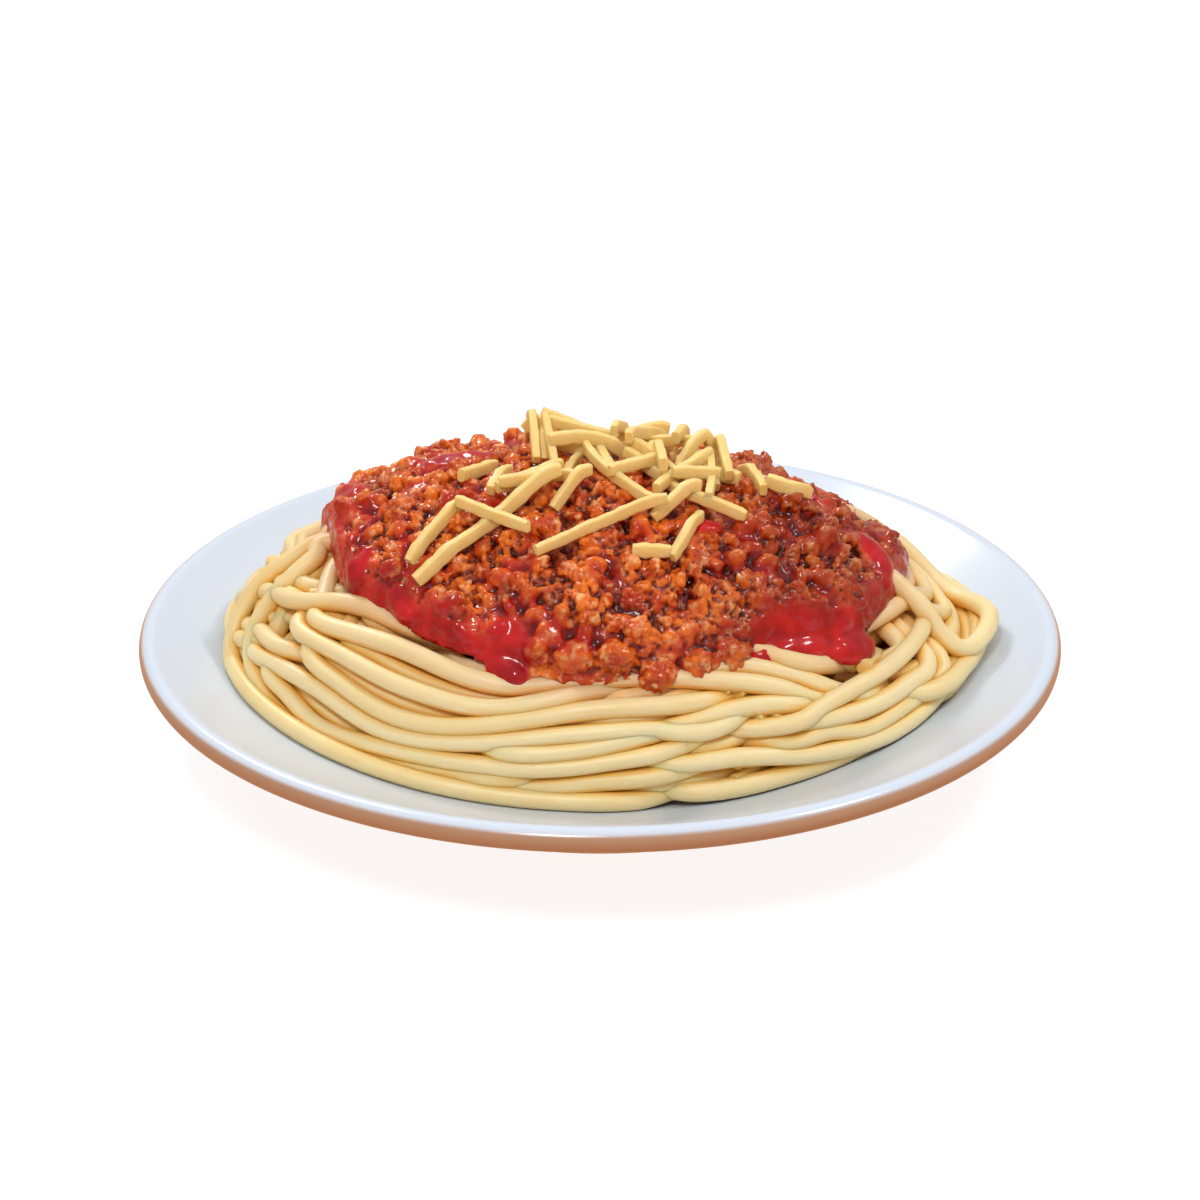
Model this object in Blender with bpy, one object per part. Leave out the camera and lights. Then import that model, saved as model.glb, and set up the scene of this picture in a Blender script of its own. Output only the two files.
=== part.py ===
"""Spaghetti bolognese on a round coupe plate.

Four kinds of piece: the plate, the heap of noodles, the meat sauce on top of it and the grated
cheese on the sauce. Sizes are in millimetres and MM turns them into metres. The origin is at
the middle of the plate's foot, +Z is up, and the front of the dish faces -Y.
"""
import math
import random

import bmesh
import bpy
from mathutils import Vector
from mathutils.bvhtree import BVHTree
from mathutils.geometry import interpolate_bezier

MM = 0.001
UP = Vector((0, 0, 1))
CLEARANCE = 0.5

PLATE_RADIUS = 95.0
PLATE_HEIGHT = 26.5
PLATE_SIDES = 48
LIP_RADIUS = 2.4
FOOT_RADIUS = 55.0
FOOT_WIDTH = 4.5
FOOT_RECESS = 2.0
WELL_RADIUS = 42.0
WELL_HEIGHT = 6.5
WALL_CURVE = 1.5
UNDERSIDE_SLOPE = 0.64

HEAP_HALF_X = 79.0
HEAP_HALF_Y = 59.0
HEAP_Y = 5.0
HEAP_BASE = 8.5
HEAP_RISE = 44.0
HEAP_SQUARENESS = 2.6
CORE_DEPTH = 2.9
CORE_GAP = 0.8
CORE_SECTORS = 40

NOODLE_RADIUS = 2.0
NOODLE_SIDES = 5
NOODLE_STEP = 11.0
SHORTEST_NOODLE = 8

SAUCE_REACH = 0.81
# Lobes of the sauce's outline, as azimuth, added reach and width in degrees.
SAUCE_LOBES = (
    (190, -0.10, 26), (225, -0.02, 12), (268, 0.06, 20), (318, 0.035, 13), (60, 0.04, 25), (120, -0.04, 25),
)
SAUCE_EDGE = 3.0
SAUCE_MIDDLE = 10.5
SAUCE_GAP = 0.9
SAUCE_RINGS = 18
# Broad swells of its top, as x, y, radius and rise.
SAUCE_SWELLS = ((-50, 6, 22, 3.5), (8, -46, 14, 2.0), (40, -28, 15, 1.6), (-22, 22, 18, 1.5))
MINCE_PITCH = 7.0
MINCE_RADII = (3.2, 5.0)
MINCE_RISES = (1.2, 3.4)
MINCE_SINK = 1.2

SHRED_WIDTH = 3.3
SHRED_THICKNESS = 2.2
SHRED_STEP = 5.0
SHRED_SINK = 1.2
LONE_GAP = 1.3


def start_empty():
    for obj in list(bpy.data.objects):
        bpy.data.objects.remove(obj, do_unlink=True)


def finish_of(name, colour, roughness, coat=0.0):
    """A plain material in linear colour."""
    material = bpy.data.materials.new(name)
    material.use_nodes = True
    shader = material.node_tree.nodes["Principled BSDF"]
    shader.inputs["Base Color"].default_value = (*colour, 1)
    shader.inputs["Roughness"].default_value = roughness
    shader.inputs["Coat Weight"].default_value = coat
    return material


def add_object(name, points, faces, material=None):
    mesh = bpy.data.meshes.new(name)
    mesh.from_pydata([tuple(point * MM) for point in points], [], faces)
    mesh.validate()
    if material:
        mesh.materials.append(material)
    obj = bpy.data.objects.new(name, mesh)
    bpy.context.scene.collection.objects.link(obj)
    return obj


def stitch(faces, lower, upper):
    """Triangles between two rings of points that both start at azimuth 0, whatever their counts."""
    i = j = 0
    low_count = len(lower) if len(lower) > 1 else 0
    up_count = len(upper) if len(upper) > 1 else 0
    while i < low_count or j < up_count:
        here, there = lower[i % len(lower)], upper[j % len(upper)]
        if j >= up_count or (i < low_count and (i + 1) * up_count <= (j + 1) * low_count):
            faces.append((here, lower[(i + 1) % len(lower)], there))
            i += 1
        else:
            faces.append((here, upper[(j + 1) % len(upper)], there))
            j += 1


def add_shell(name, rings, material=None):
    """A closed body from rings, given from its bottom pole, out and up, to its top pole."""
    points, faces, rows = [], [], []
    for ring in rings:
        rows.append(range(len(points), len(points) + len(ring)))
        points += ring
    for lower, upper in zip(rows, rows[1:]):
        stitch(faces, lower, upper)
    return add_object(name, points, faces, material)


def add_bar(name, path, ups, section, material=None):
    """A closed bar that sweeps section, a list of (side, up) offsets, along path."""
    points, faces = [], []
    count = len(section)
    for index, point in enumerate(path):
        ahead = path[min(index + 1, len(path) - 1)] - path[max(index - 1, 0)]
        side = ahead.cross(ups[index]).normalized()
        rise = side.cross(ahead).normalized()
        points += [point + side * across + rise * above for across, above in section]
    for index in range(len(path) - 1):
        first = index * count
        for corner in range(count):
            after = (corner + 1) % count
            faces.append((first + corner, first + after, first + count + after, first + count + corner))
    faces.append(tuple(reversed(range(count))))
    faces.append(tuple(range(len(points) - count, len(points))))
    return add_object(name, points, faces, material)


def move_to(obj, collection):
    bpy.context.scene.collection.objects.unlink(obj)
    collection.objects.link(obj)


def keep_outer_skin(mesh):
    """Drops every patch but the largest: the walls of hollows that the joining sealed, and scraps."""
    body = bmesh.new()
    body.from_mesh(mesh)
    unseen, patches = set(body.verts), []
    while unseen:
        patch, edge = set(), [next(iter(unseen))]
        while edge:
            spot = edge.pop()
            if spot in patch:
                continue
            patch.add(spot)
            edge += [line.other_vert(spot) for line in spot.link_edges]
        patches.append(patch)
        unseen -= patch
    patches.sort(key=len)
    for patch in patches[:-1]:
        bmesh.ops.delete(body, geom=list(patch), context="VERTS")
    body.to_mesh(mesh)
    body.free()


def fuse(base, others):
    """Joins every object of the collection to base, and removes the collection."""
    joined = base.modifiers.new("fuse", "BOOLEAN")
    joined.operation = "UNION"
    joined.operand_type = "COLLECTION"
    joined.collection = others
    joined.solver = "EXACT"
    bpy.context.view_layer.update()
    graph = bpy.context.evaluated_depsgraph_get()
    mesh = bpy.data.meshes.new_from_object(base.evaluated_get(graph))
    base.modifiers.clear()
    keep_outer_skin(mesh)
    base.data = mesh
    for other in list(others.objects):
        bpy.data.objects.remove(other, do_unlink=True)
    bpy.data.collections.remove(others)
    return base


def smooth_path(knots, step):
    """Points evenly spaced along a Catmull-Rom curve through the knots."""
    ends = [knots[0] * 2 - knots[1]] + list(knots) + [knots[-1] * 2 - knots[-2]]
    fine = [knots[0]]
    for before, start, end, after in zip(ends, ends[1:], ends[2:], ends[3:]):
        fine += interpolate_bezier(start, start + (end - before) / 6, end - (after - start) / 6, end, 16)[1:]
    lengths = [0.0]
    for a, b in zip(fine, fine[1:]):
        lengths.append(lengths[-1] + (b - a).length)
    count = max(2, round(lengths[-1] / step))
    path, at = [], 0
    for number in range(count + 1):
        target = lengths[-1] * number / count
        while at < len(fine) - 2 and lengths[at + 1] < target:
            at += 1
        span = lengths[at + 1] - lengths[at]
        path.append(fine[at].lerp(fine[at + 1], (target - lengths[at]) / span))
    return path


def plate_top(radius):
    """Height of the plate's inner face above the table."""
    share = max(0.0, (radius - WELL_RADIUS) / (PLATE_RADIUS - LIP_RADIUS - WELL_RADIUS))
    return WELL_HEIGHT + (PLATE_HEIGHT - WELL_HEIGHT) * share ** WALL_CURVE


def turned_ring(radius, height):
    if radius == 0:
        return [Vector((0, 0, height))]
    angles = [2 * math.pi * k / PLATE_SIDES for k in range(PLATE_SIDES)]
    return [Vector((radius * math.cos(a), radius * math.sin(a), height)) for a in angles]


def make_plate():
    """Turned from its foot, up the underside, round the lip and down into the well."""
    lip_radius, lip_height = PLATE_RADIUS - LIP_RADIUS, PLATE_HEIGHT - LIP_RADIUS
    profile = [(0, FOOT_RECESS), (FOOT_RADIUS - FOOT_WIDTH - 2, FOOT_RECESS), (FOOT_RADIUS - FOOT_WIDTH, 0)]
    profile += [(FOOT_RADIUS, 0), (FOOT_RADIUS + 4, 2.2)]
    for radius in (68, 78, 88):
        profile.append((radius, lip_height - 0.3 - UNDERSIDE_SLOPE * (PLATE_RADIUS - radius - 1.2)))
    for degrees in (-35, 0, 45, 90):
        turn = math.radians(degrees)
        profile.append((lip_radius + LIP_RADIUS * math.cos(turn), lip_height + LIP_RADIUS * math.sin(turn)))
    for share in (0.85, 0.66, 0.45, 0.25, 0.1, 0):
        radius = WELL_RADIUS + (lip_radius - WELL_RADIUS) * share
        profile.append((radius, plate_top(radius)))
    profile.append((0, WELL_HEIGHT))
    glaze = finish_of("white glazed porcelain", (0.80, 0.83, 0.86), 0.12, 0.5)
    return add_shell("plate", [turned_ring(*spot) for spot in profile], glaze)


def heap_share(height, inset=0.0):
    rise = (height - HEAP_BASE) / (HEAP_RISE - inset)
    return max(0.0, 1 - max(0.0, rise) ** 2) ** (1 / HEAP_SQUARENESS)


def on_heap(azimuth, height, inset=0.0):
    """The point of the noodle heap's outer form at this azimuth in degrees and height."""
    share = heap_share(height, inset)
    turn = math.radians(azimuth)
    x = (HEAP_HALF_X - inset) * share * math.cos(turn)
    y = HEAP_Y + (HEAP_HALF_Y - inset) * share * math.sin(turn)
    return Vector((x, y, height))


def heap_polar(point):
    """Azimuth in degrees, and distance out as a share of the heap's half axes."""
    across, along = point.x / HEAP_HALF_X, (point.y - HEAP_Y) / HEAP_HALF_Y
    return math.degrees(math.atan2(along, across)), math.hypot(across, along)


def heap_normal(point):
    _, share = heap_polar(point)
    rise = max(0.0, point.z - HEAP_BASE) / HEAP_RISE
    pull = HEAP_SQUARENESS * share ** (HEAP_SQUARENESS - 2)
    side_x = pull * point.x / HEAP_HALF_X ** 2
    side_y = pull * (point.y - HEAP_Y) / HEAP_HALF_Y ** 2
    return Vector((side_x, side_y, 2 * rise / HEAP_RISE)).normalized()


def heap_top(point, inset=0.0):
    """Height of the heap's outer form, or of the form inset from it, over a point in plan."""
    across = point.x / (HEAP_HALF_X - inset)
    along = (point.y - HEAP_Y) / (HEAP_HALF_Y - inset)
    share = min(1.0, math.hypot(across, along))
    return HEAP_BASE + (HEAP_RISE - inset) * math.sqrt(1 - share ** HEAP_SQUARENESS)


def sauce_reach(azimuth):
    """The sauce's outline, as a share of the heap's half axes."""
    reach = SAUCE_REACH
    for middle, height, width in SAUCE_LOBES:
        apart = (azimuth - middle + 180) % 360 - 180
        reach += height * math.exp(-((apart / width) ** 2))
    return reach


def sauce_top(point):
    azimuth, share = heap_polar(point)
    out = min(1.0, share / sauce_reach(azimuth))
    return heap_top(point) + SAUCE_EDGE + (SAUCE_MIDDLE - SAUCE_EDGE) * (1 - out ** 2.2)


def make_core():
    """The inside of the heap: a squarish dome that sits on the plate's curve."""
    azimuths = [360 * k / CORE_SECTORS for k in range(CORE_SECTORS)]
    foot = []
    for azimuth in azimuths:
        low, high = HEAP_BASE, PLATE_HEIGHT
        for _ in range(30):
            middle = (low + high) / 2
            spot = on_heap(azimuth, middle, CORE_DEPTH)
            if middle > plate_top(math.hypot(spot.x, spot.y)) + CORE_GAP:
                high = middle
            else:
                low = middle
        foot.append(on_heap(azimuth, high, CORE_DEPTH))
    rings = []
    for share in (0, 0.45, 0.7, 0.85, 0.95):
        ring = [Vector((spot.x * share, spot.y * share, 0)) for spot in (foot if share else foot[:1])]
        for spot in ring:
            spot.z = plate_top(math.hypot(spot.x, spot.y)) + CORE_GAP
        rings.append(ring)
    rings.append(foot)
    top = HEAP_BASE + HEAP_RISE - CORE_DEPTH
    for share in (0.3, 0.55, 0.75, 0.89, 0.97):
        rings.append([on_heap(a, s.z + (top - s.z) * share, CORE_DEPTH) for a, s in zip(azimuths, foot)])
    rings.append([Vector((0, HEAP_Y, top))])
    return add_shell("spaghetti", rings, finish_of("boiled wheat pasta", (0.86, 0.72, 0.42), 0.4, 0.2))


def clear_of_plate(point):
    """The point, raised where a noodle round it would touch the plate."""
    radius = math.hypot(point.x, point.y)
    slope = (plate_top(radius + 1) - plate_top(radius - 1)) / 2
    lowest = plate_top(radius) + (NOODLE_RADIUS + CLEARANCE) * math.hypot(1, slope)
    return Vector((point.x, point.y, max(point.z, lowest)))


def under_sauce(point):
    """Whether a noodle round this point would touch the sauce's side."""
    azimuth, share = heap_polar(point)
    margin = (NOODLE_RADIUS + SAUCE_GAP) / HEAP_HALF_Y
    return share < sauce_reach(azimuth) + margin


def lay_noodle(knots, noodles):
    """Adds the stretches of one noodle that lie clear of the sauce to the collection."""
    turns = [2 * math.pi * k / NOODLE_SIDES for k in range(NOODLE_SIDES)]
    section = [(NOODLE_RADIUS * math.sin(turn), NOODLE_RADIUS * math.cos(turn)) for turn in turns]
    stretch, stretches = [], []
    for point in smooth_path(knots, 1.0) + [None]:
        if point is not None and not under_sauce(point):
            stretch.append(clear_of_plate(point))
        else:
            stretches.append(stretch)
            stretch = []
    for stretch in stretches:
        if len(stretch) < SHORTEST_NOODLE:
            continue
        path = smooth_path(stretch[::4] + [stretch[-1]], NOODLE_STEP)
        noodle = add_bar("noodle", path, [heap_normal(point) for point in path], section)
        move_to(noodle, noodles)


def heap_knots(spots, lift=0.0):
    """Points just under the heap's outer form, from (azimuth, height) pairs."""
    knots = []
    for azimuth, height in spots:
        point = on_heap(azimuth, height)
        knots.append(point + heap_normal(point) * (lift - NOODLE_RADIUS))
    return knots


# Noodles that show, each as (azimuth in degrees, height) pairs along the heap's outer form.
LEFT_SWEEP = (
    ((165, 43), (176, 39), (187, 36), (199, 36), (214, 36)),
    ((174, 42), (184, 41), (196, 39), (208, 37), (219, 35)),
    ((172, 39), (180, 36), (190, 34), (202, 33), (214, 33)),
    ((172, 29), (184, 31), (194, 33), (206, 31), (215, 28)),
    ((166, 17), (180, 21), (194, 23), (209, 25), (224, 25)),
    ((178, 13), (190, 16), (202, 20)),
)
FRONT_SWEEP = (
    ((186, 25), (197, 30), (212, 34), (230, 35), (246, 33), (262, 31)),
    ((204, 31), (225, 31), (245, 29.5), (262, 29), (280, 30), (296, 28), (306, 24)),
    ((206, 31), (220, 29), (235, 26.5), (252, 25), (268, 27), (284, 27), (300, 25)),
    ((208, 30), (222, 27), (238, 22.5), (252, 22), (268, 25), (284, 27.5), (298, 26)),
    ((250, 31), (266, 32), (284, 33), (298, 30)),
    ((288, 36), (297, 34.5), (305, 31), (314, 26)),
    ((276, 33), (290, 33.5), (304, 32), (316, 29)),
    ((270, 28), (286, 31), (300, 30), (316, 29), (332, 30)),
)
LOW_SWEEP = (
    ((192, 20), (206, 22.5), (222, 22), (238, 18.5), (254, 18.5), (270, 21), (284, 21.5), (300, 23)),
    ((198, 21), (212, 17.5), (226, 13.5), (242, 14.5), (258, 17), (272, 19.5), (288, 22)),
    ((190, 18), (202, 15), (216, 10.5), (234, 9.5), (252, 11), (270, 14), (288, 17.5), (300, 18)),
    ((212, 13), (226, 8), (242, 8.5), (258, 9.5), (272, 11.5), (286, 13.5), (302, 13)),
)
RIGHT_HOOK = (
    ((292, 33), (306, 32.5), (318, 32.5), (330, 32.5), (339, 31.5), (341, 27.5), (332, 26), (320, 24),
     (306, 21.5), (290, 19.5)),
    ((272, 16), (286, 16.5), (300, 14.5), (314, 13.5), (326, 14.5), (336, 17), (343, 21), (346, 25)),
    ((296, 18), (308, 18), (320, 17.5), (331, 19), (340, 24)),
)
BACK_HEIGHTS = (12.5, 16.5, 21, 25.5, 29.5)
BACK_SWAY = 1.6
# Loops that slid off the heap onto the plate's wall, as (x, y) pairs.
PLATE_LOOPS = (
    ((60, 38), (70, 40), (77, 34), (82, 26), (83.5, 15), (82, 7), (77, -1), (69, -3)),
    ((60, 28), (70, 29), (77, 25), (78, 19), (72, 14), (62, 12)),
    ((62, 20), (71, 20), (78, 14), (77, 6), (69, 5)),
)


def make_spaghetti():
    core = make_core()
    noodles = bpy.data.collections.new("noodles")
    bpy.context.scene.collection.children.link(noodles)
    for sweep, lift in ((LOW_SWEEP, 0.0), (LEFT_SWEEP, 0.2), (FRONT_SWEEP, 0.4), (RIGHT_HOOK, 1.0)):
        for spots in sweep:
            lay_noodle(heap_knots(spots, lift), noodles)
    for number, height in enumerate(BACK_HEIGHTS):
        spots = []
        for azimuth in range(-14, 195, 16):
            sway = BACK_SWAY * math.sin(math.radians(azimuth * 2.3 + 75 * number))
            spots.append((azimuth, height + sway))
        lay_noodle(heap_knots(spots, 0.3 * (number % 2)), noodles)
    for loop in PLATE_LOOPS:
        lay_noodle([clear_of_plate(Vector((x, y, 0))) for x, y in loop], noodles)
    return fuse(core, noodles)


def mince_bumps(rng):
    """Places of the mince lumps: a jittered grid over the heap, as (x, y, radius, height)."""
    bumps = []
    spread = MINCE_PITCH * 0.35
    rows = round(2 * HEAP_HALF_Y / (MINCE_PITCH * 0.87))
    columns = round(2 * HEAP_HALF_X / MINCE_PITCH)
    for row in range(rows):
        for column in range(columns):
            x = -HEAP_HALF_X + (column + row % 2 / 2) * MINCE_PITCH + rng.uniform(-spread, spread)
            y = HEAP_Y - HEAP_HALF_Y + row * MINCE_PITCH * 0.87 + rng.uniform(-spread, spread)
            bumps.append((x, y, rng.uniform(*MINCE_RADII), rng.uniform(*MINCE_RISES)))
    return bumps


def bump_height(point, bumps):
    """How far the swells and the highest mince lump raise the sauce at this point."""
    swell = 0.0
    for x, y, radius, rise in SAUCE_SWELLS:
        swell += rise * math.exp(-((point.x - x) ** 2 + (point.y - y) ** 2) / radius ** 2)
    height = 0.0
    for x, y, radius, rise in bumps:
        apart = ((point.x - x) ** 2 + (point.y - y) ** 2) / radius ** 2
        if apart < 1:
            height = max(height, rise * math.sqrt(1 - apart))
    return swell + height


def sauce_ring(share, count):
    ring = []
    for k in range(count):
        azimuth = 360 * k / count
        out = share * sauce_reach(azimuth)
        turn = math.radians(azimuth)
        x, y = HEAP_HALF_X * out * math.cos(turn), HEAP_Y + HEAP_HALF_Y * out * math.sin(turn)
        ring.append(Vector((x, y, 0)))
    return ring


def make_sauce():
    """A lobed cap: its underside follows the heap's core, its top is lumpy with mince."""
    bumps = mince_bumps(random.Random(7))
    rings = []
    for share, count in ((0, 1), (0.2, 8), (0.4, 16), (0.6, 24), (0.75, 36), (0.88, 48), (0.975, 72)):
        ring = sauce_ring(share, count)
        for spot in ring:
            spot.z = heap_top(spot, CORE_DEPTH) + SAUCE_GAP
        rings.append(ring)
    edge = 6 * SAUCE_RINGS
    for share, rise in ((1.0, 0.3), (1.006, 0.62)):
        ring = sauce_ring(share, edge)
        for spot in ring:
            low = heap_top(spot, CORE_DEPTH) + SAUCE_GAP
            spot.z = low + (sauce_top(spot) - low) * rise
        rings.append(ring)
    for number in range(SAUCE_RINGS, -1, -1):
        share = number / SAUCE_RINGS
        ring = sauce_ring(share * 0.985, max(1, 6 * number))
        for spot in ring:
            fade = min(1.0, (1.02 - share) * 12)
            spot.z = sauce_top(spot) + bump_height(spot, bumps) * fade - MINCE_SINK
        rings.append(ring)
    finish = finish_of("tomato and minced beef sauce", (0.42, 0.06, 0.015), 0.25, 0.6)
    return add_shell("meat_sauce", rings, finish)


# Shreds of cheese, each as x, y, heading in degrees, length and sideways bend.
HEAP_SHREDS = (
    (-14, 6, -84, 24, 0), (-10, -3, -77, 11, 0), (-20, -11, -110, 10, 0), (-14, -13, 211, 15, 0),
    (-14, -16, 194, 12, 0.5), (23, -19.5, -17, 12, 0.5), (22, -10, -92, 19, 0.6), (15, -20.5, 33, 11, 0),
    (16.5, -10.5, 53, 19, 0.5), (19, -13, 22, 10, 0), (3, -13.5, -54, 23, -2.2), (7, -12.5, 36, 13, 0.4),
    (-2, -2.5, 11, 17, 0.5), (-5.5, -18, 37, 9, 0), (9, 3, 68, 20, 1), (6, 11.5, 12, 17, 1),
    (-5, 8, -4, 14, 0.5), (12, -9, -85, 12, 0), (17, 7, -100, 15, 1), (20, 0.5, 43, 11, 0),
    (25, -1.5, -82, 13, 0), (4, 8, 78, 12, 0),
)
LONE_SHREDS = (
    (0, -27.5, 19, 27, 2.4), (-22, -23, 205, 31, -0.6), (-32.5, -22, 45, 14, 0.3), (-21, -24, -37, 18, 0.4),
    (17, -27, -119, 12, 0.3), (10, -32, 6, 7.5, 0), (-24.5, -5, -123, 12, 0), (31, -4, -74, 14, 0.5),
    (38, -9, 16, 9, -2),
)
BACK_SHREDS = 10


def shred_plan(x, y, heading, length, bend):
    """The middle line of a shred in plan: an arc whose middle is bend to the side."""
    turn = math.radians(heading)
    along = Vector((math.cos(turn), math.sin(turn), 0))
    across = UP.cross(along)
    count = max(2, math.ceil(length / SHRED_STEP))
    shares = [2 * k / count - 1 for k in range(count + 1)]
    middle = Vector((x, y, 0))
    return [middle + along * length / 2 * s + across * bend * (1 - 2 * s * s) / 2 for s in shares]


def surface_of(obj):
    mesh = obj.data
    points = [vertex.co / MM for vertex in mesh.vertices]
    return BVHTree.FromPolygons(points, [tuple(face.vertices) for face in mesh.polygons])


def height_over(tree, x, y):
    spot = tree.ray_cast(Vector((x, y, 200)), -UP)[0]
    return spot.z if spot else None


def lay_shred(row, sauce, laid, sink, material):
    """A strip that bridges the sauce's lumps, and the shreds already laid."""
    plan = shred_plan(*row)
    lows = []
    for number, spot in enumerate(plan):
        ahead = plan[min(number + 1, len(plan) - 1)] - plan[max(number - 1, 0)]
        side = ahead.cross(UP).normalized()
        step = ahead.normalized()
        low = 0.0
        for across in (-0.5, -0.25, 0, 0.25, 0.5):
            for along in (-0.6, -0.3, 0, 0.3, 0.6):
                probe = spot + side * (across * SHRED_WIDTH * 1.15) + step * (along * SHRED_STEP)
                height = height_over(sauce, probe.x, probe.y)
                if height is not None:
                    low = max(low, height + CLEARANCE)
                for tree in laid:
                    height = height_over(tree, probe.x, probe.y)
                    if height is not None:
                        low = max(low, height - sink)
        lows.append(low + SHRED_THICKNESS / 2)
    rested = list(lows)
    for number in range(1, len(lows) - 1):
        rested[number] = max(lows[number], (lows[number - 1] + lows[number + 1]) / 2)
    path = [Vector((spot.x, spot.y, height)) for spot, height in zip(plan, rested)]
    half_width, half_thick = SHRED_WIDTH / 2, SHRED_THICKNESS / 2
    section = [(-half_width, -half_thick), (-half_width, half_thick), (half_width, half_thick),
               (half_width, -half_thick)]
    return add_bar("shred", path, [UP] * len(path), section, material)


def make_cheese(sauce):
    cheese = finish_of("grated mild cheese", (0.86, 0.62, 0.18), 0.5)
    top = surface_of(sauce)
    rng = random.Random(3)
    rows = list(HEAP_SHREDS)
    for _ in range(BACK_SHREDS):
        rows.append((rng.uniform(-14, 22), rng.uniform(6, 19), rng.uniform(0, 180), rng.uniform(12, 22),
                     rng.uniform(-1, 1)))
    others = bpy.data.collections.new("shreds")
    bpy.context.scene.collection.children.link(others)
    laid, first = [], None
    for row in rows:
        shred = lay_shred(row, top, laid, SHRED_SINK, cheese)
        laid.append(surface_of(shred))
        if first:
            move_to(shred, others)
        else:
            first = shred
    first.name = "grated_cheese"
    fuse(first, others)
    for number, row in enumerate(LONE_SHREDS, 1):
        shred = lay_shred(row, top, laid, -LONE_GAP, cheese)
        shred.name = f"cheese_shred_{number}"
        laid.append(surface_of(shred))


start_empty()
make_plate()
make_spaghetti()
make_cheese(make_sauce())
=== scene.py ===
"""Spaghetti bolognese on a round coupe plate, built up from the plate to the grated cheese.

Each section makes one piece of the dish in the frame of its solids: +Z is up, the middle of the
plate's foot is the origin, and the front of the dish faces -Y. Sizes are in millimetres, and MM
turns them into metres.
"""
import math
import random

import bmesh
import bpy
import numpy as np
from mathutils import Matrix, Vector, kdtree, noise
from mathutils.bvhtree import BVHTree


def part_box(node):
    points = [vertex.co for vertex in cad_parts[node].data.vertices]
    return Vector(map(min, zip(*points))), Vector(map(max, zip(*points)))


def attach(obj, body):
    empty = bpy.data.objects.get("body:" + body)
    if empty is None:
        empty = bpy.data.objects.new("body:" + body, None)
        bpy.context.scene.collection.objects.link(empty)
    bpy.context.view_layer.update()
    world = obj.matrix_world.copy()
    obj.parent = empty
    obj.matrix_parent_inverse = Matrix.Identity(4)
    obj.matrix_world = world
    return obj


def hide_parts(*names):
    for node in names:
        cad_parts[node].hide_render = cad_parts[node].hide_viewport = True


# The view. The dish is seen from the front and 24 degrees above the table, through an 85 mm
# lens that stands 588 mm away, which fills three quarters of the frame's width with the plate.
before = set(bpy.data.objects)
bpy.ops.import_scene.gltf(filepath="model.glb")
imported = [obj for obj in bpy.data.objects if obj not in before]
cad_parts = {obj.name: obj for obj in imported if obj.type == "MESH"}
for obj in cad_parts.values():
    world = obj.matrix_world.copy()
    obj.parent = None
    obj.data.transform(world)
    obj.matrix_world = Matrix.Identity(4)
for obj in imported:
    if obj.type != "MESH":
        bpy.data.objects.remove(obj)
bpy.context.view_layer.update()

MM = 0.001
CAMERA_AT = Vector((0.0, -535.6, 271.65))
CAMERA_AIM = Vector((0.0, 0.0, 29.13))

lens = bpy.data.cameras.new("camera")
lens.lens = 85
lens.sensor_width = 36
lens.clip_start = 0.01
camera = bpy.data.objects.new("camera", lens)
camera.location = CAMERA_AT * MM
camera.rotation_euler = (CAMERA_AIM - CAMERA_AT).to_track_quat("-Z", "Y").to_euler()
bpy.context.scene.collection.objects.link(camera)
bpy.context.scene.camera = camera


# The plate. A coupe plate of white glazed porcelain with a rolled lip and a foot ring: it is
# jiggered in one piece, glazed by dipping, and wiped bare where the foot stands.
PLATE_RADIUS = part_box("plate")[1][0] / MM
PLATE_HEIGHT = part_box("plate")[1][2] / MM
PLATE_SIDES = 192
LIP_RADIUS = 2.4
LIP_START, LIP_END = -70, 120.7
FOOT_RADIUS = 55.0
FOOT_WIDTH = 4.5
FOOT_RECESS = 2.0
FOOT_EASE = 0.9
# The foot is bare up to the first height, and fully glazed from the second.
FOOT_BARE_TO = 0.1
FOOT_GLAZED_FROM = 0.35
WELL_RADIUS = 42.0
WELL_HEIGHT = 6.5
WALL_CURVE = 1.5
LIP_STEPS = 22
WALL_STEPS = 40
GLAZE_COLOUR = "D2DBE6"
PAINTED_REFLECTION_COLOUR = "B89072"
BARE_FOOT_COLOUR = "E4DACB"


def linear(colour):
    """An sRGB hex value as linear RGBA."""
    shares = [int(colour[k:k + 2], 16) / 255 for k in (0, 2, 4)]
    return (*[s / 12.92 if s <= 0.04045 else ((s + 0.055) / 1.055) ** 2.4 for s in shares], 1)


def add_node(tree, kind, links=None, **settings):
    """A node with its settings, and its inputs linked to sockets or set to values."""
    node = tree.nodes.new(kind)
    for name, value in settings.items():
        setattr(node, name, value)
    for socket, value in (links or {}).items():
        if isinstance(value, bpy.types.NodeSocket):
            tree.links.new(value, node.inputs[socket])
        else:
            node.inputs[socket].default_value = value
    return node


def new_material(name):
    """An empty node material: its tree, its surface output and its object coordinates."""
    material = bpy.data.materials.new(name)
    material.use_nodes = True
    tree = material.node_tree
    tree.nodes.clear()
    output = tree.nodes.new("ShaderNodeOutputMaterial")
    place = tree.nodes.new("ShaderNodeTexCoord").outputs["Object"]
    return material, tree, output, place


def lip_point(degrees):
    turn = math.radians(degrees)
    x = PLATE_RADIUS - LIP_RADIUS + LIP_RADIUS * math.cos(turn)
    return x, PLATE_HEIGHT - LIP_RADIUS + LIP_RADIUS * math.sin(turn)


def plate_top(radius):
    """Height of the plate's inner face: a flat well, then a wall that curves up to the lip."""
    edge, height = lip_point(LIP_END)
    share = np.clip((radius - WELL_RADIUS) / (edge - WELL_RADIUS), 0, None)
    return WELL_HEIGHT + (height - WELL_HEIGHT) * share ** WALL_CURVE


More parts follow.
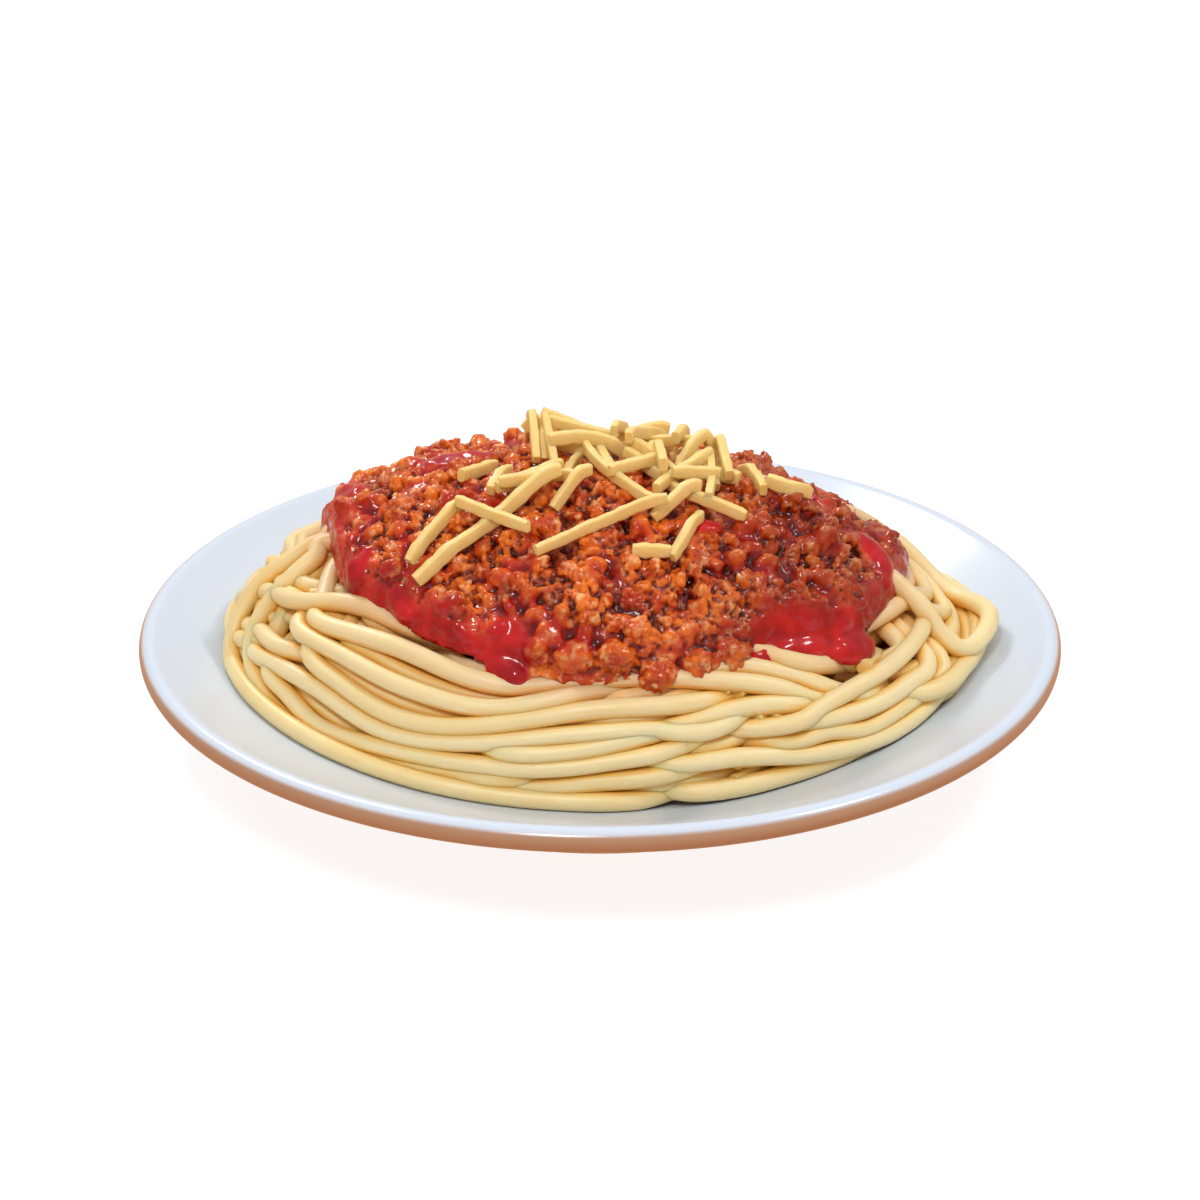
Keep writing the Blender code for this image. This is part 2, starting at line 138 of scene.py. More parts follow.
def eased(corners, ease, steps=4):
    """The outline with each inner corner rounded off, starting ease before the corner."""
    outline = [Vector(corners[0])]
    for before, corner, after in zip(corners, corners[1:], corners[2:]):
        corner = Vector(corner)
        start = corner + (Vector(before) - corner).normalized() * ease
        end = corner + (Vector(after) - corner).normalized() * ease
        for step in range(steps + 1):
            share = step / steps
            outline.append(start.lerp(corner, share).lerp(corner.lerp(end, share), share))
    return outline + [Vector(corners[-1])]


def closed_skin(name, rings):
    """A closed mesh from rings of points in mm; a flat face closes the first and the last ring."""
    rings = np.asarray(rings, float)
    rows, sides = rings.shape[:2]
    faces = [tuple(reversed(range(sides))), tuple(range((rows - 1) * sides, rows * sides))]
    for row in range(rows - 1):
        for k in range(sides):
            here, after = row * sides + k, row * sides + (k + 1) % sides
            faces.append((here, after, after + sides, here + sides))
    mesh = bpy.data.meshes.new(name)
    mesh.from_pydata((rings.reshape(-1, 3) * MM).tolist(), [], faces)
    mesh.shade_smooth()
    obj = bpy.data.objects.new(name, mesh)
    bpy.context.scene.collection.objects.link(obj)
    return obj


FOOT_INNER = FOOT_RADIUS - FOOT_WIDTH
underside = eased([(20, FOOT_RECESS), (FOOT_INNER - 2, FOOT_RECESS), (FOOT_INNER, 0), (FOOT_RADIUS, 0),
                   (FOOT_RADIUS + 4, 2.2), (71, 9.6), (88, 20.1), lip_point(LIP_START)], FOOT_EASE)
lip = [lip_point(degrees) for degrees in np.linspace(LIP_START, LIP_END, LIP_STEPS)]
wall_radii = np.linspace(lip[-1][0], WELL_RADIUS - 2, WALL_STEPS)[1:]
profile = [(spot[0], spot[1]) for spot in underside[:-1]] + lip
profile += [(radius, float(plate_top(radius))) for radius in wall_radii]
plate_turns = np.linspace(0, 2 * math.pi, PLATE_SIDES, endpoint=False)
plate = closed_skin("porcelain_plate", [
    np.column_stack([r * np.cos(plate_turns), r * np.sin(plate_turns), np.full(PLATE_SIDES, z)])
    for r, z in profile])

# Glazed porcelain: a dense white body under clear glass, so it shows a soft bluish white with
# sharp reflections, very slightly uneven where the glaze ran, and a dull bare foot. The plate's
# outer face below the lip is painted a warm tan: a painted reflection of warm light from a table.
glaze, tree, output, place = new_material("porcelain_glazed")
height = add_node(tree, "ShaderNodeSeparateXYZ", {0: place}).outputs["Z"]
glazed = add_node(tree, "ShaderNodeMapRange", {
    "Value": height, 1: FOOT_BARE_TO * MM, 2: FOOT_GLAZED_FROM * MM}).outputs[0]
flow = add_node(tree, "ShaderNodeTexNoise", {"Vector": place, "Scale": 45, "Detail": 2}).outputs["Fac"]
uneven = add_node(tree, "ShaderNodeBump", {"Height": flow, "Strength": 0.06, "Distance": 1 * MM})
facing = add_node(tree, "ShaderNodeNewGeometry").outputs["Normal"]
upward = add_node(tree, "ShaderNodeSeparateXYZ", {0: facing}).outputs["Z"]
level = add_node(tree, "ShaderNodeVectorMath", {0: place, 1: (1, 1, 0)}, operation="MULTIPLY").outputs[0]
away = add_node(tree, "ShaderNodeVectorMath", {0: level}, operation="NORMALIZE").outputs[0]
outward = add_node(tree, "ShaderNodeVectorMath", {0: facing, 1: away},
                   operation="DOT_PRODUCT").outputs["Value"]
# The painted reflection's tan goes where the plate faces outward or downward.
side = add_node(tree, "ShaderNodeMapRange", {"Value": outward, 1: 0.62, 2: 0.84}).outputs[0]
below = add_node(tree, "ShaderNodeMapRange", {"Value": upward, 1: 0.05, 2: -0.15}).outputs[0]
outside = add_node(tree, "ShaderNodeMath", {0: side, 1: below}, operation="MAXIMUM").outputs[0]
white = add_node(tree, "ShaderNodeMix", {0: outside, 6: linear(GLAZE_COLOUR), 7: linear(PAINTED_REFLECTION_COLOUR)},
                 data_type="RGBA")
body = add_node(tree, "ShaderNodeMix", {0: glazed, 6: linear(BARE_FOOT_COLOUR), 7: white.outputs[2]},
                data_type="RGBA")
dull = add_node(tree, "ShaderNodeMapRange", {"Value": glazed, 3: 0.7, 4: 0.22}).outputs[0]
shader = add_node(tree, "ShaderNodeBsdfPrincipled", {
    "Base Color": body.outputs[2], "Roughness": dull, "IOR": 1.52, "Normal": uneven.outputs[0]})
tree.links.new(shader.outputs[0], output.inputs[0])
plate.data.materials.append(glaze)
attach(plate, "root")
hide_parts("plate")


# The spaghetti. Boiled durum wheat noodles 4 mm thick, slid from the colander in one swept heap:
# each is laid along its guide over a core, and then all settle until they only touch.
HEAP_HALF_X = 79.0
HEAP_HALF_Y = 59.0
HEAP_Y = 5.0
HEAP_BASE = 8.5
HEAP_RISE = 44.0
HEAP_SQUARENESS = 2.6
NOODLE_RADIUS = 2.0
NOODLE_VARIES = (0.94, 1.05)
NOODLE_STEP = 1.5
NOODLE_SIDES = 12
# A stretch of no more points than this isn't laid.
NOODLE_SHORTEST = 8
CREASE_PROBE = 1.6
CREASE_OPEN = 3.5
UNDER_INSET = 6.2
CORE_INSET = 10.0
CORE_SECTORS = 72
CORE_ROWS = 30
HIDDEN_MARGIN = 0.13
# A noodle ends by running this far on, and this much deeper, between the noodles below it.
END_RUN = 13.0
END_DIVE = 7.5
# The tip pushes nothing aside over the first length, and firms over the second.
END_SOFT = 3.0
END_FIRMING = 6.0
# Length of one degree of azimuth along the heap.
HEAP_ARC = 1.15
# The outline of the sauce on the heap: lobes as azimuth, added reach and width in degrees.
SAUCE_REACH = 0.81
SAUCE_LOBES = (
    (190, -0.10, 26), (225, -0.02, 12), (268, 0.06, 20), (318, 0.035, 13), (60, 0.04, 25), (120, -0.04, 25),
)
# Guides of the noodles that show, as (azimuth in degrees, height) pairs along the heap's form.
LEFT_FALL = (
    ((165, 43.5), (176, 40.5), (188, 38), (199, 37), (212, 36.5)),
    ((172, 43.5), (183, 42.5), (194, 41), (206, 38.5), (217, 35.5)),
    ((170, 38), (178, 37.5), (187, 34.5), (199, 34.5), (207, 33.5)),
    ((152, 18), (162, 19), (172, 20.5), (180, 23), (187, 26.5), (194, 30.5), (203, 32)),
    ((150, 13), (158, 15), (168, 18), (180, 21.5), (190, 22.5), (199, 24.5), (210, 25.5), (221, 25.5)),
    ((154, 10), (164, 11), (175, 12.5), (185, 14.5), (192, 16.5), (200, 19.5), (212, 21)),
    ((168, 22), (178, 23), (188, 26), (198, 28.5)),
    ((182, 42), (187, 37.5), (190, 31.5), (194, 26), (201, 22), (210, 20)),
    ((168, 43), (176, 41), (187, 37.6), (193, 33), (196, 28.7), (199, 23), (202, 17), (208, 12)),
    ((168, 43.5), (177, 42.2), (190, 39.4), (200, 36.6), (209, 34.6), (219, 32.9)),
    ((180, 45), (191, 43.8), (203, 41.2), (213, 38.6), (224, 35.9), (231, 34.2)),
    ((197, 43), (207, 41.4), (218, 39.7), (227, 37.4), (236, 35.8), (244, 35.5)),
)
OUTER_SWEEP = (
    ((180, 43), (184, 39), (186, 34), (187, 28), (189, 21), (192, 14.5), (198, 9.4), (210, 7.5), (225, 7.2),
     (240, 7.8), (251, 9), (264, 10.5), (276, 11.5), (290, 13)),
    ((184, 41), (189, 37.5), (192, 32), (194, 26), (197, 20.5), (204, 15.4), (214, 11.6), (225, 10.3),
     (237, 10.1), (248, 11.2), (259, 12.8), (272, 15)),
    ((185, 36), (193, 32.1), (196, 27.1), (200, 23.4), (208, 19.3), (216, 16), (225, 13.8), (234, 13.3),
     (244, 14.2), (256, 16)),
    ((182, 18), (189, 18.5), (206, 20.2), (215, 19.2), (223, 16.5), (231, 14.5), (240, 14.8), (250, 15.6),
     (264, 18)),
)
FRONT_SWEEP = (
    ((174, 19), (180, 23.5), (186, 27), (193, 29.8), (206, 32.5), (220, 35.5), (237, 34.5), (257, 32.5),
     (275, 31.5), (290, 32)),
    ((214, 31.5), (235, 31.5), (255, 28.5), (276, 30.5), (295, 28.5), (306, 23.5)),
    ((210, 30.5), (225, 29), (240, 26.5), (255, 24.5), (270, 27.5), (293, 26.5)),
    ((216, 30.5), (227, 26.5), (239, 22.5), (250, 22.5), (267, 26.5), (284, 27.5), (292, 26.5)),
    ((249, 30.5), (266, 31.5), (287, 32.5), (296, 31.5)),
    ((245, 19.5), (255, 21.5), (264, 22.5), (273, 25.5), (284, 27.5), (292, 26.5)),
    ((218, 30), (227, 26.1), (237, 23.6), (246, 22.1), (255, 22.2), (264, 23.6), (278, 25), (294, 24)),
    ((219, 32.9), (230, 30.9), (241, 28.9), (250, 27.9), (261, 28), (270, 28.9), (279, 29.6), (290, 29)),
    ((256, 18.5), (264, 18.6), (273, 20.2), (283, 22.3), (294, 23.7), (303, 22.7), (312, 20)),
)
LOW_SWEEP = (
    ((200, 21.5), (210, 22.5), (222, 22.5), (238, 18.5), (252, 18.5), (267, 20.5), (276, 21.5), (287, 21.5),
     (296, 23.5)),
    ((206, 20.5), (214, 17.5), (224, 13.5), (238, 14.5), (255, 16.5), (270, 19.5), (282, 21.5), (296, 23.5)),
    ((190, 21), (199, 17.5), (208, 12.5), (220, 9.5), (240, 9.5), (258, 11.5), (270, 14), (282, 16.5),
     (290, 17.5)),
    ((216, 9), (226, 7.5), (240, 8.5), (258, 9.5), (270, 11.5), (284, 13.5), (300, 12.5)),
    ((259, 19.5), (270, 19.5), (276, 21.5), (287, 21.5), (296, 22.5)),
    ((186, 17), (196, 13.5), (206, 9.5), (218, 8), (234, 11), (250, 13)),
)
RIGHT_SWEEP = (
    ((280, 16.5), (291, 16.5), (302, 14.5), (313, 13.5), (322, 14), (331, 15.5), (338, 17.5), (343, 21.5),
     (343, 24.5)),
    ((298, 18.5), (306, 18.5), (313, 16.5), (322, 17.5), (330, 18.5), (337, 21.5), (341, 25.5)),
    ((287, 33.5), (295, 31.5), (304, 27.5), (315, 24.5)),
    ((300, 22), (312, 21), (324, 21.5), (334, 24), (342, 29)),
    ((284, 13), (300, 12), (316, 11), (330, 12), (342, 15)),
    ((293, 17), (303, 17.1), (313, 16.8), (321, 17.3), (328, 19.1), (334, 21.6), (339, 24.7)),
    ((300, 20.8), (310, 21.9), (318, 23.3), (326, 25.8), (332, 28.5), (338, 32)),
    ((285, 32.8), (294, 30.9), (302, 27.8), (310, 22.7), (316, 21.5), (324, 20)),
)
TOP_SWEEP = (
    ((290, 36.5), (297, 35.5), (303, 32.5), (309, 29.5), (314, 26.5)),
    ((290, 33), (297, 32.5), (307, 32.5), (318, 32.5), (330, 32.5), (338, 32), (341, 29), (332, 26.5),
     (320, 24), (306, 21.5), (297, 20), (283, 19.5)),
)
# The sweeps in the order they are laid, with the lift of the first noodle of each off the form.
SWEEPS = (
    (LEFT_FALL, 0.0), (OUTER_SWEEP, 0.4), (LOW_SWEEP, 0.6), (RIGHT_SWEEP, 0.8), (FRONT_SWEEP, 1.6),
    (TOP_SWEEP, 3.2),
)
SWEEP_DROP = 0.12
# The noodles whose cut end shows.
CUT_NOODLES = ((FRONT_SWEEP, 1), (TOP_SWEEP, 0))
# Loops that slid off the heap onto the plate's wall, as (x, y) pairs.
PLATE_LOOPS = (
    ((40, 10), (48, 15), (55, 18), (61, 20), (67, 19.5), (74, 16), (79.5, 9), (82, 0), (80.5, -7), (76, -13),
     (71, -15), (65, -13), (58, -10), (48, -6)),
    ((40, 9), (50, 13), (58, 15), (66, 14), (73, 10), (76, 3), (73, -2), (66, -4), (54, -2), (44, -1)),
    ((42, 7), (50, 9), (58, 11), (65, 10), (69.5, 6), (69, 0), (65, -3), (57, -4), (46, -4)),
    ((40, -15), (48, -14), (56, -12), (63, -9), (70, -4), (73, 2), (70, 9), (62, 13), (52, 13)),
    ((40, -7), (48, -7), (56, -6), (63, -3), (67, 3), (66, 9), (59, 11), (48, 9)),
)
PLATE_LIFT = 0.3
PLATE_EASE_ROUNDS = 12
# Noodles round the back, each in two runs that pass each other; the higher ones start further round.
BACK_HEIGHTS = (10.5, 14.2, 17.9, 21.6, 25.3, 29.0, 32.7, 36.4)
BACK_SPAN = (-26, 158)
BACK_BREAKS = (50, 120)
BACK_LAP = 10
BACK_SWAY = 2.6
BACK_TILT = 2
BACK_LIFT = 1.5
BACK_JITTER = 8
HIGH_BACK = 24.0
HIGH_BACK_START = 26.0
# Covered noodles right round the heap, below the others, with the share of deeper yellow painted
# shade on them and on the core.
UNDER_HEIGHTS = (12, 15.8, 19.6, 23.4, 27.2, 31, 34.8, 38.6)
UNDER_TURN = 356
UNDER_SWAY = 1.6
UNDER_JITTER = 0.4
UNDER_DEPTH_SHADE = 0.55
CORE_DEPTH_SHADE = 1.6


def smooth_path(knots, step):
    """Evenly spaced points along a Catmull-Rom curve through the knots."""
    knots = np.asarray(knots, float)
    ends = np.vstack([2 * knots[0] - knots[1], knots, 2 * knots[-1] - knots[-2]])
    share = np.linspace(0, 1, 20, endpoint=False)[:, None]
    runs = []
    for a, b, c, d in zip(ends, ends[1:], ends[2:], ends[3:]):
        bend = (2 * a - 5 * b + 4 * c - d) * share ** 2 + (3 * b - a - 3 * c + d) * share ** 3
        runs.append(b + ((c - a) * share + bend) / 2)
    fine = np.vstack(runs + [knots[-1:]])
    lengths = np.concatenate([[0], np.cumsum(np.linalg.norm(np.diff(fine, axis=0), axis=1))])
    even = np.linspace(0, lengths[-1], max(2, round(lengths[-1] / step)) + 1)
    return np.column_stack([np.interp(even, lengths, fine[:, axis]) for axis in range(3)])


def on_heap(azimuth, height, inset=0.0):
    """The point of the heap's form, or of the form inset from it, at this azimuth and height."""
    rise = np.clip((height - HEAP_BASE) / (HEAP_RISE - inset), 0, 1)
    share = (1 - rise ** 2) ** (1 / HEAP_SQUARENESS)
    turn = np.radians(azimuth)
    return np.stack([(HEAP_HALF_X - inset) * share * np.cos(turn),
                     HEAP_Y + (HEAP_HALF_Y - inset) * share * np.sin(turn),
                     height + 0 * turn], -1)


def heap_polar(points):
    """Azimuth in degrees, and distance out as a share of the heap's half axes."""
    across, along = points[..., 0] / HEAP_HALF_X, (points[..., 1] - HEAP_Y) / HEAP_HALF_Y
    return np.degrees(np.arctan2(along, across)), np.hypot(across, along)


def heap_depth(points, inset=0.0):
    """How far the points lie inside the heap's form, and the outward direction there."""
    across = points[:, 0] / (HEAP_HALF_X - inset)
    along = (points[:, 1] - HEAP_Y) / (HEAP_HALF_Y - inset)
    rise = np.clip((points[:, 2] - HEAP_BASE) / (HEAP_RISE - inset), 0, None)
    share = np.hypot(across, along)
    pull = HEAP_SQUARENESS * np.maximum(share, 0.05) ** (HEAP_SQUARENESS - 2)
    slope = np.column_stack([pull * across / (HEAP_HALF_X - inset), pull * along / (HEAP_HALF_Y - inset),
                             2 * rise / (HEAP_RISE - inset)])
    steep = np.maximum(np.linalg.norm(slope, axis=1), 1e-4)
    return (1 - share ** HEAP_SQUARENESS - rise ** 2) / steep, slope / steep[:, None]


def heap_top(points):
    _, share = heap_polar(points)
    return HEAP_BASE + HEAP_RISE * np.sqrt(1 - np.minimum(share, 1) ** HEAP_SQUARENESS)


def sauce_reach(azimuth):
    """The sauce's outline, as a share of the heap's half axes."""
    reach = SAUCE_REACH + 0 * azimuth
    for middle, height, width in SAUCE_LOBES:
        apart = (azimuth - middle + 180) % 360 - 180
        reach = reach + height * np.exp(-(apart / width) ** 2)
    return reach


def clear_of_plate(points, radius):
    """Raises each point to where a noodle of this radius rests on the plate."""
    out = np.hypot(points[:, 0], points[:, 1])
    slope = plate_top(out + 0.5) - plate_top(out - 0.5)
    lowest = plate_top(out) + radius * np.hypot(1, slope)
    return np.maximum(points[:, 2], lowest)


def heap_guide(spots, inset, lift, dives=(True, True)):
    """A guide along the heap; at each end that dives it runs on, deeper between the others."""
    spots = np.array(spots, float)
    depths = np.full(len(spots), inset)
    lifts = np.full(len(spots), lift)
    for dive, place, here, before in ((dives[0], 0, 0, 1), (dives[1], len(spots), -1, -2)):
        if dive:
            way = spots[here] - spots[before]
            way *= END_RUN / math.hypot(way[0] * HEAP_ARC, way[1])
            spots = np.insert(spots, place, spots[here] + way, axis=0)
            depths = np.insert(depths, place, inset + END_DIVE)
            lifts = np.insert(lifts, place, 0)
    knots = on_heap(spots[:, 0], spots[:, 1], depths)
    _, outward = heap_depth(knots)
    return smooth_path(knots + outward * lifts[:, None], NOODLE_STEP)


def plan_guide(spots, lift):
    """A guide from (x, y) pairs, resting on the heap or on the plate's wall."""
    path = smooth_path([(x, y, 0) for x, y in spots], NOODLE_STEP)
    path[:, 2] = np.where(heap_polar(path)[1] < 1, heap_top(path), 0)
    path[:, 2] = clear_of_plate(path, NOODLE_RADIUS) + lift
    height = path[:, 2].copy()
    for _ in range(PLATE_EASE_ROUNDS):
        height[1:-1] = (height[:-2] + 2 * height[1:-1] + height[2:]) / 4
    path[:, 2] = np.maximum(height, clear_of_plate(path, NOODLE_RADIUS))
    return path


def showing(path):
    """The longest stretch of the path that isn't deep under the sauce."""
    azimuth, share = heap_polar(path)
    seen = share > sauce_reach(azimuth) - HIDDEN_MARGIN
    best, start = (0, 0), None
    for index, shows in enumerate(list(seen) + [False]):
        if shows and start is None:
            start = index
        if not shows and start is not None:
            best = max(best, (index - start, start))
            start = None
    return path[best[1]:best[1] + best[0]]


rng = random.Random(11)
guides = []
for height in UNDER_HEIGHTS:
    spots, phase = [], rng.uniform(0, 360)
    first = rng.uniform(0, 360)
    for azimuth in np.arange(first, first + UNDER_TURN, 12):
        sway = UNDER_SWAY * math.sin(math.radians(2 * azimuth + phase))
        spots.append((azimuth, height + (sway + rng.uniform(-UNDER_JITTER, UNDER_JITTER))))
    guides.append((UNDER_DEPTH_SHADE, heap_guide(spots, UNDER_INSET, 0, (False, False))))
for height in BACK_HEIGHTS:
    breaks = rng.uniform(*BACK_BREAKS)
    right = HIGH_BACK_START if height > HIGH_BACK else BACK_SPAN[0]
    for start, end in ((right + rng.uniform(-BACK_JITTER, BACK_JITTER), breaks + BACK_LAP),
                       (breaks - BACK_LAP, BACK_SPAN[1] + rng.uniform(-BACK_JITTER, BACK_JITTER))):
        spots, phase = [], rng.uniform(0, 360)
        tilt = rng.uniform(-BACK_TILT, BACK_TILT)
        for azimuth in np.linspace(start, end, 9):
            sway = BACK_SWAY * math.sin(math.radians(1.7 * azimuth + phase))
            spots.append((azimuth, height + sway + tilt * (azimuth - start) / (end - start)))
        guides.append((0.0, heap_guide(spots, NOODLE_RADIUS, rng.uniform(0, BACK_LIFT))))
for sweep, lift in SWEEPS:
    for number, spots in enumerate(sweep):
        cut = (sweep, number) in CUT_NOODLES
        guides.append((0.0, heap_guide(spots, NOODLE_RADIUS, lift - SWEEP_DROP * number, (True, not cut))))
for number, spots in enumerate(PLATE_LOOPS):
    guides.append((0.0, plan_guide(spots, PLATE_LIFT * number)))
guides = [(tone, showing(path)) for tone, path in guides]
guides = [(tone, path) for tone, path in guides if len(path) > NOODLE_SHORTEST]

points = np.vstack([path for _, path in guides])
home = points.copy()
strand = np.concatenate([np.full(len(path), number) for number, (_, path) in enumerate(guides)])
# The share of deeper yellow painted shade, for the covered noodles that lie in less light.
depth = np.concatenate([np.full(len(path), tone) for tone, path in guides])
tint = np.array([rng.uniform(0, 1) for _ in guides])[strand]
on_form = strand < len(guides) - len(PLATE_LOOPS)
thick = np.array([rng.uniform(*NOODLE_VARIES) for _ in guides])[strand] * NOODLE_RADIUS
index = np.arange(len(points))
first_of = np.searchsorted(strand, strand, "left")
last_of = np.searchsorted(strand, strand, "right") - 1
after = np.minimum(index + 1, last_of)
from_end = np.minimum(index - first_of, last_of - index) * NOODLE_STEP
firm = np.where(on_form, np.clip((from_end - END_SOFT) / END_FIRMING, 0, 1), 1)


def near_pairs(points, reach, skip=6):
    """Index pairs of points closer than reach, except neighbours along one noodle."""
    tree = kdtree.KDTree(len(points))
    for number, point in enumerate(points):
        tree.insert(point, number)
    tree.balance()
    first, second = [], []
    for number, point in enumerate(points):
        for _, other, _ in tree.find_range(point, reach):
            if other > number and (strand[other] != strand[number] or other - number > skip):
                first.append(number)
                second.append(other)
    return np.array(first), np.array(second)


SETTLE_ROUNDS = 150
# The last rounds, in which the noodles are no longer drawn back to their guides.
CALM_ROUNDS = 30
HOME_PULL = 0.03
FORM_PULL = 0.4
SETTLE_PUSH = 1.5
# Points nearer to each other than this are paired anew every few rounds.
PAIR_REACH = 2 * NOODLE_RADIUS + 1.2
PAIR_ROUNDS = 8
# Steps along a noodle to the points that each point bends with.
STIFFNESS = (1, 5, 5, 2)
# How far a noodle may stand out of the heap's form, and how deep it lies below the sauce.
MOST_LIFT = 2.0
LOOP_LIFT = 8.0
UNDER_SAUCE = 2.0
# How far past the sauce's edge noodles and loops are pressed down, and over what width, as
# shares of the heap's half axes.
PRESSED_NOODLES = 0.03
PRESSED_LOOPS = 0.07
PRESSED_WIDTH = 0.05
most_lift = np.where(on_form, MOST_LIFT, LOOP_LIFT)
pressed_to = np.where(on_form, PRESSED_NOODLES, PRESSED_LOOPS)
for turn in range(SETTLE_ROUNDS):
    if turn % PAIR_ROUNDS == 0:
        one, two = near_pairs(points, PAIR_REACH)
    apart = points[two] - points[one]
    gap = np.maximum(np.linalg.norm(apart, axis=1), 1e-6)
    bite = np.clip(thick[one] + thick[two] - gap, 0, None) * firm[one] * firm[two]
    push = apart * (bite / gap / 2)[:, None]
    touching = np.bincount(one, bite > 0, len(points)) + np.bincount(two, bite > 0, len(points))
    for axis in range(3):
        shift = np.bincount(two, push[:, axis], len(points)) - np.bincount(one, push[:, axis], len(points))
        points[:, axis] += SETTLE_PUSH * shift / np.maximum(touching, 1)
    if turn < SETTLE_ROUNDS - CALM_ROUNDS:
        points += HOME_PULL * (home - points)
    moved = points - home
    for reach in STIFFNESS:
        moved = moved / 2 + (moved[np.maximum(index - reach, first_of)]
                             + moved[np.minimum(index + reach, last_of)]) / 4
    points = home + moved
    inside, outward = heap_depth(points, CORE_INSET - NOODLE_RADIUS)
    points += outward * np.clip(inside, 0, 1)[:, None]
    inside, outward = heap_depth(points)
    azimuth, share = heap_polar(points)
    under = np.clip((sauce_reach(azimuth) + pressed_to - share) / PRESSED_WIDTH, 0, 1)
    least = NOODLE_RADIUS - most_lift * (1 - under) + UNDER_SAUCE * under
    points -= outward * (np.clip(least - inside, 0, 1) * FORM_PULL)[:, None]
    points[:, 2] = clear_of_plate(points, thick)


def store(mesh, **values):
    """Keeps one number for each point of the mesh under each name."""
    for name, numbers in values.items():
        numbers = np.asarray(numbers, np.float32)
        mesh.attributes.new(name, "FLOAT", "POINT").data.foreach_set("value", numbers)


# Tomato juice tints the noodles next to the sauce, over this share of the heap's half axes.
STAIN_REACH = 0.06
# Thickness of a noodle's hidden tip, as a share of its own.
TIP_SHARE = 0.8
line = bpy.data.meshes.new("noodle_lines")
edges = np.column_stack([index, after])[after != index]
line.from_pydata((points * MM).tolist(), edges.tolist(), [])
azimuth, share = heap_polar(points)
stain = np.clip(1 - (share - sauce_reach(azimuth)) / STAIN_REACH, 0, 1)
slender = thick * (TIP_SHARE + (1 - TIP_SHARE) * firm)
store(line, thickness=slender * MM, depth=depth, tint=tint, stain=stain)


def node_tree(name, sizes):
    """An empty geometry tree with a mesh in and out, and its named sizes as inputs."""
    tree = bpy.data.node_groups.new(name, "GeometryNodeTree")
    tree.interface.new_socket("Mesh", in_out="INPUT", socket_type="NodeSocketGeometry")
    for size, kind in sizes:
        tree.interface.new_socket(size, in_out="INPUT", socket_type="NodeSocket" + kind)
    tree.interface.new_socket("Mesh", in_out="OUTPUT", socket_type="NodeSocketGeometry")
    return tree, tree.nodes.new("NodeGroupInput").outputs


def end_tree(tree, geometry, material):
    """Ends the tree in a plain mesh of one material."""
    plain = add_node(tree, "GeometryNodeRealizeInstances", {"Geometry": geometry})
    painted = add_node(tree, "GeometryNodeSetMaterial", {"Geometry": plain.outputs[0], "Material": material})
    add_node(tree, "NodeGroupOutput", {0: painted.outputs[0]})


def applied(obj):
    """The object with its modifiers made part of a plain mesh."""
    bpy.context.view_layer.update()
    graph = bpy.context.evaluated_depsgraph_get()
    mesh = bpy.data.meshes.new_from_object(obj.evaluated_get(graph))
    obj.modifiers.clear()
    obj.data = mesh
    return obj


def grown(mesh, name, tree, values):
    """A new object: the mesh after the geometry tree, with the tree's named inputs set."""
    source = bpy.data.objects.new(name, mesh)
    bpy.context.scene.collection.objects.link(source)
    modifier = source.modifiers.new(tree.name, "NODES")
    modifier.node_group = tree
    for item in tree.interface.items_tree:
        if item.in_out == "INPUT" and item.name in values:
            modifier[item.identifier] = values[item.name]
    return applied(source)


# Boiled pasta: a pale cream starch gel, a little translucent, with a moist sheen. Light that
# passes from noodle to noodle turns golden in the gaps; that golden shade is also painted into the
# gaps between noodles, and the covered noodles and the core get a deeper yellow painted shade.
PASTA_PALE = "EFDCAA"
PASTA_YELLOW = "E9C880"
PAINTED_GAP_SHADE_COLOUR = "EDB648"
STAIN_COLOUR = "E0A080"
PAINTED_DEPTH_SHADE_COLOUR = "D09A3C"
PAINTED_GAP_SHADE_STRENGTH = 0.9
STAIN_DEPTH = 0.3
pasta, tree, output, place = new_material("pasta_boiled")
deep, tone, gap_shade, stained = (
    add_node(tree, "ShaderNodeAttribute", attribute_name=name).outputs["Fac"]
    for name in ("depth", "tint", "gap_shade", "stain"))
cloud = add_node(tree, "ShaderNodeTexNoise", {"Vector": place, "Scale": 110, "Detail": 3}).outputs["Fac"]
mixed = add_node(tree, "ShaderNodeMath", {0: tone, 1: cloud}, operation="MULTIPLY").outputs[0]
golden = add_node(tree, "ShaderNodeMath", {0: gap_shade, 1: PAINTED_GAP_SHADE_STRENGTH}, operation="MULTIPLY").outputs[0]
pink = add_node(tree, "ShaderNodeMath", {0: stained, 1: STAIN_DEPTH}, operation="MULTIPLY").outputs[0]
body = add_node(tree, "ShaderNodeMix", {0: mixed, 6: linear(PASTA_PALE), 7: linear(PASTA_YELLOW)},
                data_type="RGBA")
# In turn: painted golden shade in the gaps, the tomato stain, and painted deeper shade on covered noodles.
for share, colour in ((golden, PAINTED_GAP_SHADE_COLOUR), (pink, STAIN_COLOUR), (deep, PAINTED_DEPTH_SHADE_COLOUR)):
    body = add_node(tree, "ShaderNodeMix", {0: share, 6: body.outputs[2], 7: linear(colour)},
                    data_type="RGBA")
grain = add_node(tree, "ShaderNodeTexNoise", {"Vector": place, "Scale": 900, "Detail": 2}).outputs["Fac"]
skin = add_node(tree, "ShaderNodeBump", {"Height": grain, "Strength": 0.12, "Distance": 0.2 * MM})
shader = add_node(tree, "ShaderNodeBsdfPrincipled", {
    "Base Color": body.outputs[2], "Roughness": 0.38, "IOR": 1.42, "Normal": skin.outputs[0],
    "Subsurface Weight": 0.5, "Subsurface Radius": (1.0, 0.7, 0.3), "Subsurface Scale": 1.3 * MM})
tree.links.new(shader.outputs[0], output.inputs[0])

